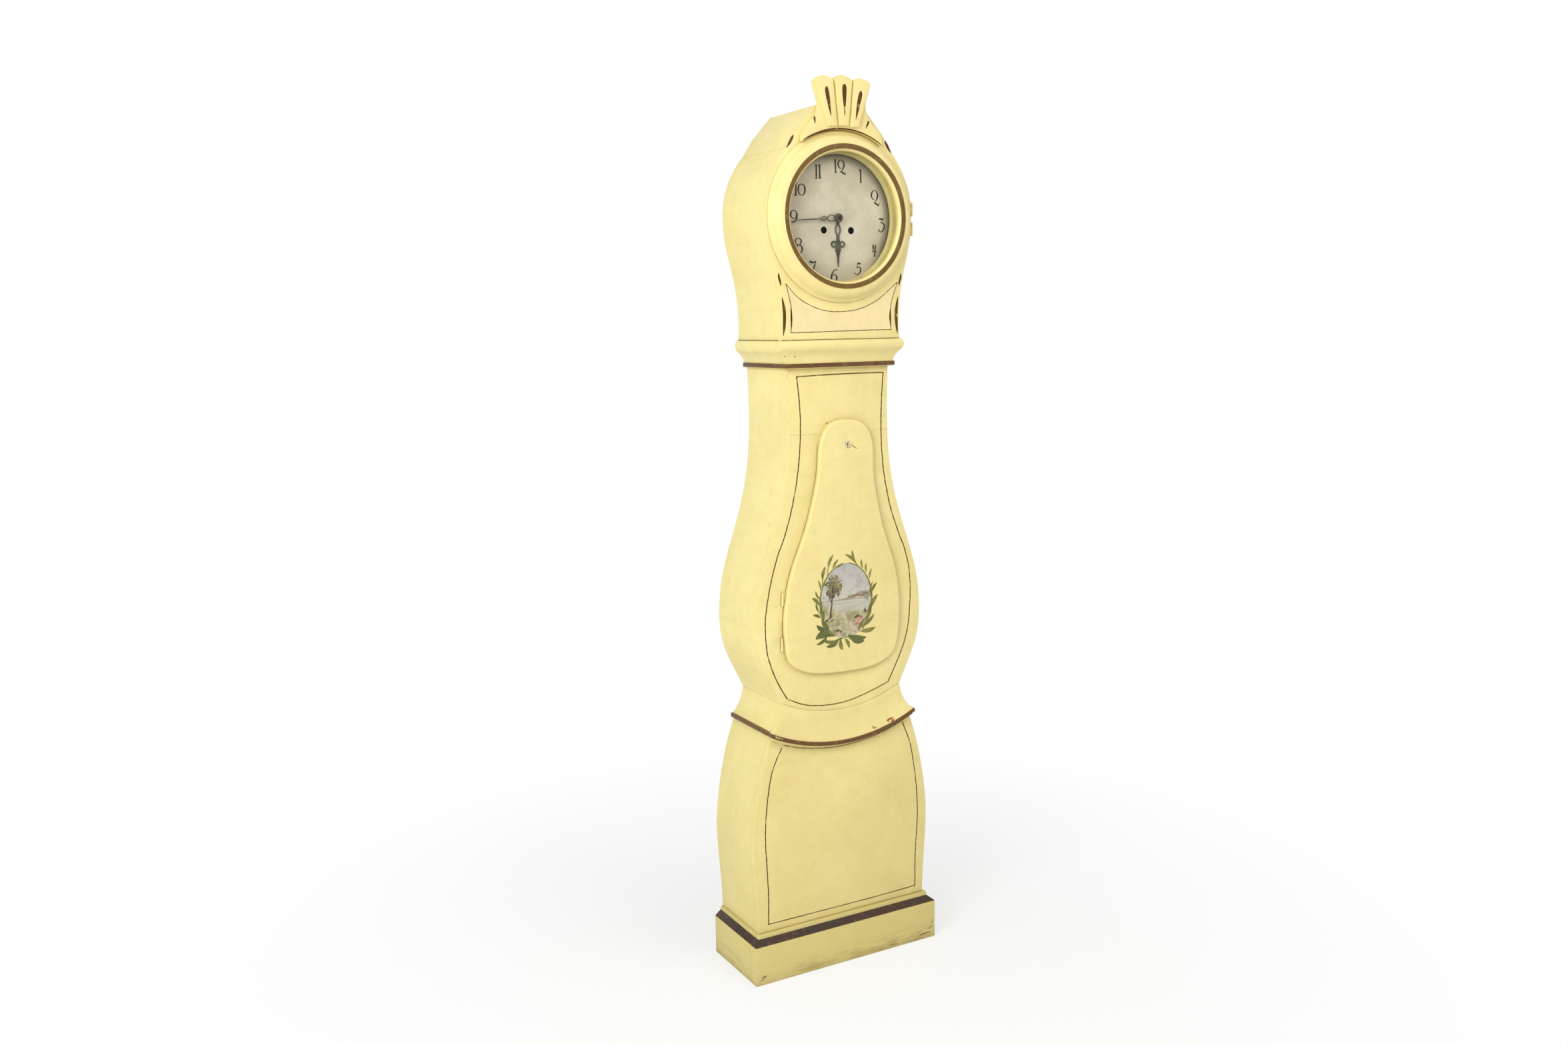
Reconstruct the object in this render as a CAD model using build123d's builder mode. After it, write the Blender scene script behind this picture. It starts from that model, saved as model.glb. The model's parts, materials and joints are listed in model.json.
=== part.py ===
from build123d import *
import os
from math import atan2, cos, degrees, radians, sin, sqrt

# Swedish long case clock with a waisted, painted case. Millimetres, +Z up, front towards -Y,
# origin on the floor at the centre of the plinth. Depths are measured forwards from the back plane.

os.makedirs("parts", exist_ok=True)

# ---- fits ----
fit_gap = 0.2            # between curved wooden faces that meet
fork_gap = 0.2           # each side of the pendulum rod in its fork
running_gap = 0.05       # radial, shaft in its hole
slide_gap = 0.2          # bolt in its case

# ---- case, heights ----
plinth_height = 115.0
plinth_face_height = 94.0
case_joint_z = 590.0     # base case meets waist behind the middle moulding
collar_bottom_z = 1418.0
collar_top_z = 1480.0    # the hood stands here

# ---- case, depths from the back plane ----
plinth_depth = 210.0
case_depth = 187.0
hood_depth = 204.0
back_y = plinth_depth / 2

# ---- boards ----
front_board = 16.0
side_board = 12.0
back_board_thickness = 12.0
hood_board = 12.0
plinth_board = 30.0
floor_board = 12.0
floor_batten = 45.0
case_back_of_front = case_depth - front_board
hood_back_of_front = hood_depth - hood_board

# ---- plinth ----
plinth_width = 505.0
plinth_bevel_width = 15.0
plinth_bevel_height = 12.0
plinth_fillet_width = 4.0

# ---- case outlines: half width and height, right hand side, bottom to top ----
base_outline = ((231, plinth_height), (238, 240), (242, 330), (231, 430), (208, 530), (187, case_joint_z))
waist_outline = ((163, 657), (185, 702), (213, 767), (222, 850), (212, 930), (172, 1056),
                 (144, 1160), (132, 1290), (138, collar_top_z))
hood_outline = ((156, collar_top_z), (154.5, 1535), (164, 1612), (183, 1690), (189.5, 1748),
                (184, 1805), (163, 1856), (136, 1893))
roof_line = ((136, 1893), (110, 1932), (62, 1985), (-62, 1985), (-110, 1932), (-136, 1893))

# ---- middle moulding: arcs about one centre above it ----
smile_centre_z = 990.0
smile_top_radius = 370.0
smile_band_radius = 441.0
smile_bottom_radius = 450.0
smile_foot_radius = 457.0
moulding_reach_front = 18.0
moulding_top_half = 163.0
moulding_cove_half = 192.0
moulding_band_half = 197.0

# ---- collar moulding ----
collar_band_height = 9.0
collar_cove_height = 26.0
collar_reach_front = 23.0
collar_band_reach_front = 14.0
waist_top_half = 138.0
collar_half = 165.0
collar_band_half = 145.0

# ---- waist door ----
door_centre = (2.5, 850.0)
door_lean = 1.9          # degrees, the neck leans to the right
door_thickness = 12.0
door_round = 5.0
door_lap = 10.0
door_outline = ((68, 405), (74, 340), (87, 265), (108, 190), (137, 115), (153, 45), (157, 0),
                (154, -60), (141, -103))
door_top_v = 450.0
door_bottom_v = -139.0
door_hinge_spots = (45.0, -60.0)
door_hinge_reach = 2.8
lock_v = 394.0
lock_width = 90.0
lock_height = 54.0
lock_depth = 24.0
bolt_length = 25.0
bolt_height = 10.0
bolt_thickness = 4.5
keyhole_radius = 2.6

# ---- hinges ----
leaf_thickness = 1.2
leaf_height = 30.0
knuckle_radius = 2.4
hinge_pin_radius = 1.1
door_leaf_width = 12.0
bezel_leaf_width = 20.0
door_pin_height = 2.7
bezel_pin_height = 1.5

# ---- dial and glazed door ----
dial_z = 1748.0
dial_depth = 190.0
dial_radius = 150.0
dial_thickness = 1.5
hood_opening_radius = 138.0
bezel_radius = 186.0
bezel_inner_radius = 141.0
bezel_depth = 26.0
glass_radius = 146.0
glass_thickness = 2.5
glass_height = 9.5
bezel_hinge_spots = (22.0, -22.0)
bezel_hinge_x = 190.2

# ---- crown ----
crown_gap = 1.5
crown_half = 102.0
crown_thickness = 12.0
crown_lobe_thickness = 7.0
crown_neck_half = 60.0
crown_lobe_half = 24.5
crown_top_half = 72.0
crown_rise = 114.5       # top of the middle lobe over the hollow foot
total_height = dial_z + bezel_radius + crown_gap + crown_rise

# ---- movement ----
front_plate_depth = 166.0
back_plate_depth = 106.0
plate_thickness = 3.0
plate_half_width = 78.0
plate_top_z = 1826.0
pillar_spot = (71.0, 1812.0)
pillar_low_z = 1677.0
pillar_radius = 4.0
seat_top_z = 1668.0
seat_thickness = 20.0
seat_half_width = 124.0
seat_back_depth = 96.0
seat_front_depth = 184.0
cheek_thickness = 14.0
cheek_outer = 122.0
cheek_bottom_z = 1410.0
line_slot = (12.0, 20.0)
dial_feet = ((65.0, 1813.0), (65.0, 1678.0))
dial_foot_radius = 2.5
arbor_radius = 2.5
pivot_radius = 1.5
wheel_thickness = 2.5
pinion_length = 6.0
end_shake = 0.3

winding_offset = (35.5, -27.0)
barrel_radius = 20.0
barrel_flange_radius = 26.0
barrel_arbor_radius = 4.0
barrel_length = 40.0
time_barrel_depth = 118.0
strike_barrel_depth = 111.0
barrel_flange = 2.0
square_depth = 170.0
square_end_depth = 187.0
square_width = 6.4
line_radius = 0.8
line_clearance = 0.05
winding_hole_radius = 7.0

# teeth, wheel first and the pinion that it drives second
going_teeth = ((96, 8), (64, 8), (60, 8))
strike_teeth = ((78, 8), (56, 7), (56, 7), (48, 7))
motion_teeth = ((24, 72), (16, 64))
wheel_addendum = 0.8
pinion_addendum = 0.6
wheel_dedendum = 1.25
pinion_dedendum = 1.35
wheel_tooth_halves = (0.24, 0.18, 0.08)     # half widths at root, pitch line and tip, in pitches
pinion_tooth_halves = (0.16, 0.16, 0.08)

third_distance = 19.0
third_x = 5.0
escape_distance = 17.0
escape_radius = 14.0
escape_teeth = 30
pallet_clearance = 0.85
motion_distance = 28.8
minute_stud_radius = 2.0
minute_stud_end = 180.0
minute_pinion_end = 179.0
hour_pipe_radius = 5.6
dial_hole_radius = 6.5
hand_depths = (191.5, 196.0)
hand_thickness = 1.5
arbor_end_depth = 200.0
hour_hand_angle = -90.0
minute_hand_angle = 184.0
strike_distances = (43.45, 18.27, 15.75, 12.4)
strike_angles = (100.0, 60.0, 110.0, 30.0)
fly_reach = 9.2
fly_depths = (130.0, 143.0)
count_radius = 32.0

time_great_depth = 112.0
strike_great_depth = 154.0
centre_wheel_depth = 140.0
third_wheel_depth = 130.0
escape_wheel_depth = 120.0
pin_wheel_depth = 136.0
hoop_wheel_depth = 146.0
warning_wheel_depth = 124.0

# ---- pendulum ----
pendulum_length = 994.0
pendulum_depth = 78.0
rod_radius = 3.0
bob_radius = 75.0
bob_thickness = 22.0
suspension_pin_radius = 2.5
crutch_length = 70.0
cock_back_depth = 84.0
cock_thickness = 5.0
cock_half_width = 26.0
cock_leg = 4.0
cock_z = (1790.0, 1815.0)
stud_back_depth = 70.0
eye_radius = 6.0
eye_length = 8.0
crutch_depth = 90.0
crutch_thickness = 3.0
fork_prong = 2.0

# ---- weights ----
weight_radius = 24.0
weight_height = 260.0
weight_bottom_z = 160.0
pulley_radius = 14.0
pulley_groove_radius = 12.0
pulley_thickness = 7.0
pulley_pin_radius = 1.5
pulley_above_weight = 50.0
weight_depth = 136.0

# ---- bell ----
bell_radius = 45.0
bell_height = 42.0
bell_wall = 3.0
bell_mouth_z = 1846.0
bell_depth = 134.0
hammer_gap = 1.5
hammer_spot = (-60.0, 1790.0)
bell_bar_half = 8.0


def layer(depth):
    """Plane parallel to the front, a given depth forwards of the back plane, facing the front."""
    return Plane.XZ.offset(depth - back_y)


def turning(x, z, depth):
    """Plane for the half section of a piece turned about a front-to-back axis at x, z."""
    return Plane(origin=(x, back_y - depth, z), x_dir=(1, 0, 0), z_dir=(0, 0, -1))


def front_axis(x, z):
    """Axis that runs front to back through x, z."""
    return Axis((x, 0, z), (0, 1, 0))


def door_plane(depth):
    """Plane of the leaning waist door, with its origin on the door's centre."""
    lean = radians(door_lean)
    origin = (door_centre[0], back_y - depth, door_centre[1])
    return Plane(origin=origin, x_dir=(cos(lean), 0, -sin(lean)), z_dir=(0, -1, 0))


def smile_z(radius, x):
    """Height of the sagging arc of a given radius at x."""
    return smile_centre_z - sqrt(radius**2 - x**2)


def save(piece, name):
    """Label a finished piece and write its file."""
    piece.part.label = name
    export_step(piece.part, f"parts/{name}.step")


def shaped_board(outline, inset=0.0, tail_z=None, foot_radius=None, mode=Mode.ADD):
    """Face of a board with the same shaped edge on both sides.

    tail_z carries the edges straight down to that height, and foot_radius ends the board on a sagging arc.
    """
    edge = [(x - inset, z) for x, z in outline]
    foot_x = edge[0][0]
    foot_z = edge[0][1] if tail_z is None else tail_z
    with BuildLine() as rim:
        if foot_radius is None:
            Line((0, foot_z), (foot_x, foot_z))
        else:
            foot_z = smile_z(foot_radius, foot_x)
            ThreePointArc((0, smile_z(foot_radius, 0)), (foot_x / 2, smile_z(foot_radius, foot_x / 2)),
                          (foot_x, foot_z))
        if foot_z < edge[0][1]:
            Line((foot_x, foot_z), edge[0])
        Spline(*edge)
        Line(edge[-1], (0, edge[-1][1]))
        mirror(about=Plane.YZ)
    make_face(rim.edges(), mode=mode)


def along(start, distance, angle):
    """Point at a distance and angle from another one."""
    return (start[0] + distance * cos(radians(angle)), start[1] + distance * sin(radians(angle)))


def bearing(start, end):
    """Angle of the line from one point to another, in degrees."""
    return degrees(atan2(end[1] - start[1], end[0] - start[0]))


# =====================================================================================
# Plinth and base case
# =====================================================================================

plinth_half = plinth_width / 2
bevel_half = plinth_half - plinth_bevel_width
bevel_top_z = plinth_face_height + plinth_bevel_height
fillet_half = bevel_half - plinth_fillet_width
plinth_inner_half = plinth_half - plinth_board


def plinth_section(outer, inner):
    """Section of the plinth: upright face, bevel and a small fillet on top."""
    bevel = outer - plinth_bevel_width
    with BuildLine() as rim:
        Polyline((inner, 0), (outer, 0), (outer, plinth_face_height), (bevel, bevel_top_z),
                 (bevel, plinth_height - plinth_fillet_width / 2),
                 (bevel - plinth_fillet_width, plinth_height), (inner, plinth_height), close=True)
    make_face(rim.edges())


with BuildPart() as plinth_front:
    with BuildSketch(Plane.YZ.offset(-plinth_half)):
        with BuildLine():
            face = -back_y
            bevel = face + plinth_bevel_width
            Polyline((face, 0), (face, plinth_face_height), (bevel, bevel_top_z),
                     (bevel, plinth_height - plinth_fillet_width / 2),
                     (bevel + plinth_fillet_width, plinth_height),
                     (face + plinth_board, plinth_height), (face + plinth_board, 0), close=True)
        make_face()
    extrude(amount=plinth_width)
    with BuildSketch(layer(0)):
        plinth_section(plinth_half, -plinth_half + plinth_bevel_width)
        mirror(about=Plane.YZ)
    extrude(amount=plinth_depth, mode=Mode.INTERSECT)
save(plinth_front, "plinth_front")

with BuildPart() as plinth_sides:
    with BuildSketch(layer(0)):
        plinth_section(plinth_half, plinth_inner_half)
    extrude(amount=plinth_depth - plinth_board)
    mirror(about=Plane.YZ)
save(plinth_sides, "plinth_sides")

with BuildPart() as base_floor:
    with BuildSketch(Plane.XY.offset(plinth_height - floor_board)):
        with Locations((0, plinth_board / 2)):
            Rectangle(2 * plinth_inner_half, plinth_depth - plinth_board)
    extrude(amount=floor_board)
    with BuildSketch(Plane.XY):
        with Locations((0, plinth_board / 2)):
            Rectangle(floor_batten, plinth_depth - plinth_board)
    extrude(amount=plinth_height - floor_board)
save(base_floor, "base_floor")

corner_x = base_outline[-1][0]
joint_radius = sqrt(corner_x**2 + (smile_centre_z - case_joint_z) ** 2)

with BuildPart() as base_front:
    with BuildSketch(layer(case_back_of_front)):
        shaped_board(base_outline)
        with BuildLine():
            ThreePointArc((-corner_x, case_joint_z), (0, smile_z(joint_radius, 0)), (corner_x, case_joint_z))
            Line((corner_x, case_joint_z), (-corner_x, case_joint_z))
        make_face(mode=Mode.SUBTRACT)
    extrude(amount=front_board)
save(base_front, "base_front")

with BuildPart() as base_sides:
    with BuildSketch(layer(0)):
        shaped_board(base_outline)
        shaped_board(base_outline, side_board, mode=Mode.SUBTRACT)
    extrude(amount=case_back_of_front)
save(base_sides, "base_sides")

# =====================================================================================
# Waist
# =====================================================================================


def door_face(inset=0.0, mode=Mode.ADD):
    """Face with the pear-shaped door outline, in the door's own plane."""
    edge = [(u - inset, v) for u, v in door_outline]
    top = door_top_v - inset
    bottom = door_bottom_v + inset
    neck, foot = edge[0], edge[-1]
    shoulder = (neck[0] * 0.66, top - (top - neck[1]) * 0.22)
    heel = (foot[0] * 0.72, bottom + (foot[1] - bottom) * 0.3)
    with BuildLine() as rim:
        Spline((0, top), (neck[0] * 0.3, top - 1), shoulder, neck, *edge[1:], heel,
               (foot[0] * 0.3, bottom + 1), (0, bottom))
        mirror(about=Plane.YZ)
    make_face(rim.edges(), mode=mode)


def hinge_planes(board_plane, axis_x, spots):
    """Planes on a board's face under each hinge pin, x across the board and y up."""
    return [board_plane.shift_origin(board_plane.from_local_coords((axis_x, spot, 0))) for spot in spots]


def leaf_recess(hand, width, depth):
    """Pocket for one hinge leaf, on the side of the pin given by hand; depth below zero goes inwards."""
    reach = width + knuckle_radius + fit_gap
    with Locations((hand * (reach / 2 - knuckle_radius), 0, depth / 2)):
        Box(reach, leaf_height + 2 * fit_gap, abs(depth), mode=Mode.SUBTRACT)


def fixed_hinges(planes, hand, width, pin_height):
    """Leaves let into the fixed board, each with two knuckles and the pin."""
    third = leaf_height / 3
    with BuildPart(*planes) as hinges:
        with Locations((hand * width / 2, 0, -leaf_thickness / 2)):
            Box(width, leaf_height, leaf_thickness)
        for side in (-1, 1):
            with Locations((0, side * third, pin_height)):
                Cylinder(knuckle_radius, third, rotation=(90, 0, 0))
            tab = pin_height + leaf_thickness
            with Locations((hand * leaf_thickness / 2, side * third, tab / 2 - leaf_thickness)):
                Box(leaf_thickness, third, tab)
        with Locations((0, 0, pin_height)):
            Cylinder(knuckle_radius + leaf_thickness, third, rotation=(90, 0, 0), mode=Mode.SUBTRACT)
            Cylinder(hinge_pin_radius, leaf_height, rotation=(90, 0, 0))
    return hinges


def moving_hinges(planes, hand, width, pin_height):
    """Leaves let into the door's back, each with the middle knuckle."""
    knuckle = leaf_height / 3 - 2 * running_gap
    start = knuckle_radius + leaf_thickness
    low = max(pin_height - knuckle_radius, running_gap)
    with BuildPart(*planes) as hinges:
        with Locations((hand * (start + width) / 2, 0, low + leaf_thickness / 2)):
            Box(width - start, leaf_height, leaf_thickness)
        with Locations((hand * start / 2, 0, low + leaf_thickness / 2)):
            Box(start, knuckle, leaf_thickness)
        with Locations((0, 0, pin_height)):
            Cylinder(knuckle_radius, knuckle, rotation=(90, 0, 0))
            Cylinder(hinge_pin_radius + running_gap, leaf_height, rotation=(90, 0, 0), mode=Mode.SUBTRACT)
    return hinges


door_hinge_u = -(door_outline[6][0] + door_hinge_reach)
door_hinge_planes = hinge_planes(door_plane(case_depth), door_hinge_u, door_hinge_spots)
moving_leaf_recess = leaf_thickness + door_pin_height - knuckle_radius + fit_gap

with BuildPart() as waist_front:
    with BuildSketch(layer(case_back_of_front)):
        shaped_board(waist_outline, foot_radius=joint_radius - fit_gap)
    extrude(amount=front_board)
    with BuildSketch(door_plane(case_back_of_front)):
        door_face(door_lap)
    extrude(amount=front_board, mode=Mode.SUBTRACT)
    with Locations(*door_hinge_planes):
        leaf_recess(1, door_leaf_width, -(leaf_thickness + running_gap))
save(waist_front, "waist_front")

with BuildPart() as waist_sides:
    with BuildSketch(layer(0)):
        shaped_board(waist_outline, tail_z=case_joint_z)
        shaped_board(waist_outline, side_board, tail_z=case_joint_z, mode=Mode.SUBTRACT)
    extrude(amount=case_back_of_front)
save(waist_sides, "waist_sides")

with BuildPart() as back_board:
    with BuildSketch(layer(0)):
        shaped_board(base_outline, side_board + fit_gap)
        shaped_board(waist_outline, side_board + fit_gap, tail_z=case_joint_z)
        with Locations((0, collar_top_z)):
            Rectangle(236, 400, align=(Align.CENTER, Align.MIN))
    extrude(amount=back_board_thickness)
save(back_board, "back_board")

# =====================================================================================
# Mouldings
# =====================================================================================

band_top_z = smile_z(smile_band_radius, moulding_band_half)
band_bottom_z = smile_z(smile_bottom_radius, moulding_band_half)
moulding_top_z = smile_z(smile_top_radius, moulding_top_half)
moulding_foot_z = band_bottom_z - (smile_foot_radius - smile_bottom_radius)
moulding_foot_half = moulding_cove_half - 1


def moulding_face():
    """Middle moulding seen from the front: its sides' cove, painted band and foot."""
    cove_middle = (moulding_top_half + 9, moulding_top_z - 34)
    with BuildLine() as rim:
        Polyline((0, moulding_foot_z), (moulding_foot_half, moulding_foot_z),
                 (moulding_foot_half, band_bottom_z),
                 (moulding_band_half, band_bottom_z), (moulding_band_half, band_top_z),
                 (moulding_cove_half, band_top_z))
        ThreePointArc((moulding_cove_half, band_top_z), cove_middle, (moulding_top_half, moulding_top_z))
        Line((moulding_top_half, moulding_top_z), (0, moulding_top_z))
        mirror(about=Plane.YZ)
    make_face(rim.edges())


with BuildPart() as mid_moulding_front:
    section = Plane(origin=(0, back_y - case_depth, smile_centre_z), x_dir=(0, 0, -1), z_dir=(-1, 0, 0))
    with BuildSketch(section):
        with BuildLine():
            reach = moulding_reach_front
            Polyline((smile_top_radius, 0), (smile_foot_radius, 0), (smile_foot_radius, 3),
                     (smile_bottom_radius, reach - 5), (smile_bottom_radius, reach),
                     (smile_band_radius, reach), (smile_band_radius, reach - 3))
            ThreePointArc((smile_band_radius, reach - 3), (smile_top_radius + 42, 5.5),
                          (smile_top_radius + 9, 2.5))
            Polyline((smile_top_radius + 9, 2.5), (smile_top_radius, 2), (smile_top_radius, 0))
        make_face()
    revolve(axis=front_axis(0, smile_centre_z))
    with BuildSketch(layer(case_depth)):
        moulding_face()
        with Locations((0, moulding_foot_z)):
            Rectangle(2 * moulding_foot_half, smile_foot_radius, align=(Align.CENTER, Align.MAX))
    extrude(amount=moulding_reach_front, mode=Mode.INTERSECT)
save(mid_moulding_front, "mid_moulding_front")

with BuildPart() as mid_moulding_sides:
    with BuildSketch(layer(0)):
        moulding_face()
        shaped_board(waist_outline, -fit_gap, tail_z=case_joint_z, mode=Mode.SUBTRACT)
        shaped_board(base_outline, -fit_gap, mode=Mode.SUBTRACT)
    extrude(amount=case_depth)
save(mid_moulding_sides, "mid_moulding_sides")


def collar_section(reach, band_reach, base):
    """Half section of the collar: foot fillet, painted band, cove and rounded top, outwards from the case."""
    band_bottom = collar_bottom_z + 2
    band_top = band_bottom + collar_band_height
    cove_top = band_top + collar_cove_height
    with BuildLine() as rim:
        Polyline((0, collar_bottom_z), (base + band_reach - 5, collar_bottom_z),
                 (base + band_reach, band_bottom), (base + band_reach, band_top),
                 (base + band_reach - 3, band_top))
        ThreePointArc((base + band_reach - 3, band_top),
                      (base + (reach + band_reach) / 2 - 6, (band_top + cove_top) / 2 + 2),
                      (base + reach - 5, cove_top))
        Line((base + reach - 5, cove_top), (base + reach - 3, cove_top + 3))
        ThreePointArc((base + reach - 3, cove_top + 3), (base + reach, (cove_top + collar_top_z) / 2 + 1),
                      (base + reach - 4, collar_top_z))
        Polyline((base + reach - 4, collar_top_z), (0, collar_top_z), (0, collar_bottom_z))
    make_face(rim.edges())


collar_side_reach = collar_half - waist_top_half
collar_side_band = collar_band_half - waist_top_half

with BuildPart() as collar_front:
    with BuildSketch(Plane(origin=(collar_half, 0, 0), x_dir=(0, -1, 0), z_dir=(-1, 0, 0))):
        collar_section(collar_reach_front, collar_band_reach_front, case_depth - back_y)
    extrude(amount=2 * collar_half)
    with BuildSketch(layer(case_depth)):
        collar_section(collar_side_reach, collar_side_band, waist_top_half)
        mirror(about=Plane.YZ)
    extrude(amount=collar_reach_front, mode=Mode.INTERSECT)
save(collar_front, "collar_front")

with BuildPart() as collar_sides:
    with BuildSketch(layer(0)):
        collar_section(collar_side_reach, collar_side_band, waist_top_half)
        mirror(about=Plane.YZ)
        shaped_board(waist_outline, -fit_gap, mode=Mode.SUBTRACT)
    extrude(amount=case_depth)
save(collar_sides, "collar_sides")

# =====================================================================================
# Waist door with its hinges, lock and keyhole
# =====================================================================================

lock_front = door_plane(case_depth)
bolt_depth = case_depth - lock_depth + 2.5
bolt_rest_u = lock_width / 2 - bolt_length / 2 - 0.5

with BuildPart() as waist_door:
    with BuildSketch(door_plane(case_depth)):
        door_face()
    extrude(amount=door_thickness)
    fillet(waist_door.faces().sort_by(Axis.Y)[0].edges(), door_round)
    with Locations(*door_hinge_planes):
        leaf_recess(1, door_leaf_width, moving_leaf_recess)
    with BuildSketch(door_plane(case_depth)):
        with Locations((0, lock_v)):
            Circle(keyhole_radius)
            Rectangle(keyhole_radius, 3.2 * keyhole_radius, align=(Align.CENTER, Align.MAX))
    extrude(amount=door_thickness, mode=Mode.SUBTRACT)
save(waist_door, "waist_door")

door_hinges_fixed = fixed_hinges(door_hinge_planes, 1, door_leaf_width, door_pin_height)
save(door_hinges_fixed, "door_hinges_fixed")
door_hinges_moving = moving_hinges(door_hinge_planes, 1, door_leaf_width, door_pin_height)
save(door_hinges_moving, "door_hinges_moving")

with BuildPart(lock_front) as lock_case:
    with Locations((0, lock_v, 0)):
        Box(lock_width, lock_height, lock_depth, align=(Align.CENTER, Align.CENTER, Align.MAX))
        Cylinder(keyhole_radius / 2.6, door_thickness, align=(Align.CENTER, Align.CENTER, Align.MIN))
    with Locations((bolt_rest_u + 0.5, lock_v, bolt_depth - case_depth)):
        Box(bolt_length + 1, bolt_height + 2 * slide_gap, bolt_thickness + 2 * slide_gap,
            align=(Align.CENTER, Align.CENTER, Align.MIN), mode=Mode.SUBTRACT)
save(lock_case, "lock_case")

with BuildPart(lock_front) as lock_bolt:
    with Locations((bolt_rest_u, lock_v, bolt_depth - case_depth + slide_gap)):
        Box(bolt_length, bolt_height, bolt_thickness, align=(Align.CENTER, Align.CENTER, Align.MIN))
save(lock_bolt, "lock_bolt")

with BuildPart() as keyhole_plate:
    with BuildSketch(door_plane(case_depth + door_thickness)):
        with Locations((0, lock_v - 1.5)):
            Ellipse(5.5, 7.5)
        with Locations((0, lock_v)):
            Circle(keyhole_radius, mode=Mode.SUBTRACT)
            Rectangle(keyhole_radius, 3.2 * keyhole_radius, align=(Align.CENTER, Align.MAX),
                      mode=Mode.SUBTRACT)
    extrude(amount=0.8)
save(keyhole_plate, "keyhole_plate")

# =====================================================================================
# Hood, crown and glazed door
# =====================================================================================

hood_plane = layer(hood_depth)
bezel_hinge_planes = [Plane(origin=(bezel_hinge_x, back_y - hood_depth, dial_z + spot), x_dir=(1, 0, 0),
                            z_dir=(0, -1, 0)) for spot in bezel_hinge_spots]
bezel_leaf_recess = leaf_thickness + fit_gap


with BuildPart() as hood_front:
    with BuildSketch(layer(hood_back_of_front)):
        shaped_board(hood_outline)
        Polygon(*roof_line, align=None)
        with Locations((0, dial_z)):
            Circle(hood_opening_radius, mode=Mode.SUBTRACT)
    extrude(amount=hood_board)
    with Locations(*bezel_hinge_planes):
        leaf_recess(-1, bezel_leaf_width, -(leaf_thickness + running_gap))
save(hood_front, "hood_front")

with BuildPart() as hood_sides:
    with BuildSketch(layer(0)):
        shaped_board(hood_outline)
        shaped_board(hood_outline, hood_board, mode=Mode.SUBTRACT)
    extrude(amount=hood_back_of_front)
save(hood_sides, "hood_sides")


def inner_corner(before, corner, after, wall):
    """Corner of the line that runs a wall's thickness inside a bent line."""
    start = (Vector(*corner) - Vector(*before)).normalized()
    end = (Vector(*after) - Vector(*corner)).normalized()
    along_corner = (start + end).normalized()
    half_turn_cos = along_corner.dot(start)
    shift = wall / half_turn_cos
    return (corner[0] - along_corner.Y * shift, corner[1] + along_corner.X * shift)


with BuildPart() as hood_roof:
    eave_run = Vector(roof_line[1][0] - roof_line[0][0], roof_line[1][1] - roof_line[0][1]).normalized()
    eave_inner = roof_line[0][0] - hood_board / eave_run.Y
    inner = [(eave_inner, roof_line[0][1])]
    inner += [inner_corner(*roof_line[i - 1:i + 2], hood_board) for i in range(1, 5)]
    inner += [(-eave_inner, roof_line[-1][1])]
    for plank in range(5):
        with BuildSketch(layer(0)):
            Polygon(roof_line[plank], roof_line[plank + 1], inner[plank + 1], inner[plank], align=None)
        extrude(amount=hood_back_of_front, mode=Mode.ADD)
save(hood_roof, "hood_roof")


def crown_arc_z(x):
    """Height of the crown's hollow foot, which follows the glazed door."""
    return dial_z + sqrt((bezel_radius + crown_gap) ** 2 - x**2)


def lobe(left, right, foot_left, foot_right, foot_z, top_z):
    """Face of one flared lobe of the crown with its rounded top."""
    with BuildLine() as rim:
        Line((foot_right, foot_z), right)
        ThreePointArc(right, ((left[0] + right[0]) / 2, top_z), left)
        Polyline(left, (foot_left, foot_z), (foot_right, foot_z))
    make_face(rim.edges())


crown_valley_z = total_height - 12
crown_corner_z = total_height - 16
crown_neck_z = total_height - 62
with BuildPart() as hood_crown:
    with BuildSketch(hood_plane):
        with BuildLine():
            ThreePointArc((0, crown_arc_z(0)), (crown_half / 2, crown_arc_z(crown_half / 2)),
                          (crown_half, crown_arc_z(crown_half)))
            Spline((crown_half, crown_arc_z(crown_half)), (90, crown_arc_z(90) + 26.5),
                   (68, crown_arc_z(68) + 39.5), (crown_neck_half, crown_neck_z), (66, total_height - 38),
                   (crown_top_half, crown_corner_z))
            ThreePointArc((crown_top_half, crown_corner_z), (51, total_height - 4),
                          (crown_lobe_half, crown_valley_z))
            ThreePointArc((crown_lobe_half, crown_valley_z), (13, total_height - 3), (0, total_height))
            mirror(about=Plane.YZ)
        make_face()
    extrude(amount=crown_thickness)
    lobe_foot_z = crown_arc_z(0) + 6
    with BuildSketch(layer(hood_depth + crown_thickness)):
        lobe((-crown_lobe_half + 1.5, crown_valley_z), (crown_lobe_half - 1.5, crown_valley_z), -13, 13,
             lobe_foot_z, total_height - 1)
    extrude(amount=crown_lobe_thickness, taper=12)
    for side in (-1, 1):
        with BuildSketch(layer(hood_depth + crown_thickness)):
            near = (side * (crown_lobe_half + 1.5), crown_valley_z)
            far = (side * (crown_top_half - 2), crown_corner_z)
            feet = (side * 15.5, side * 38)
            left, right = sorted((near, far))
            foot_left, foot_right = sorted(feet)
            lobe(left, right, foot_left, foot_right, lobe_foot_z - 2, total_height - 5)
        extrude(amount=crown_lobe_thickness, taper=12)
save(hood_crown, "hood_crown")

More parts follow.
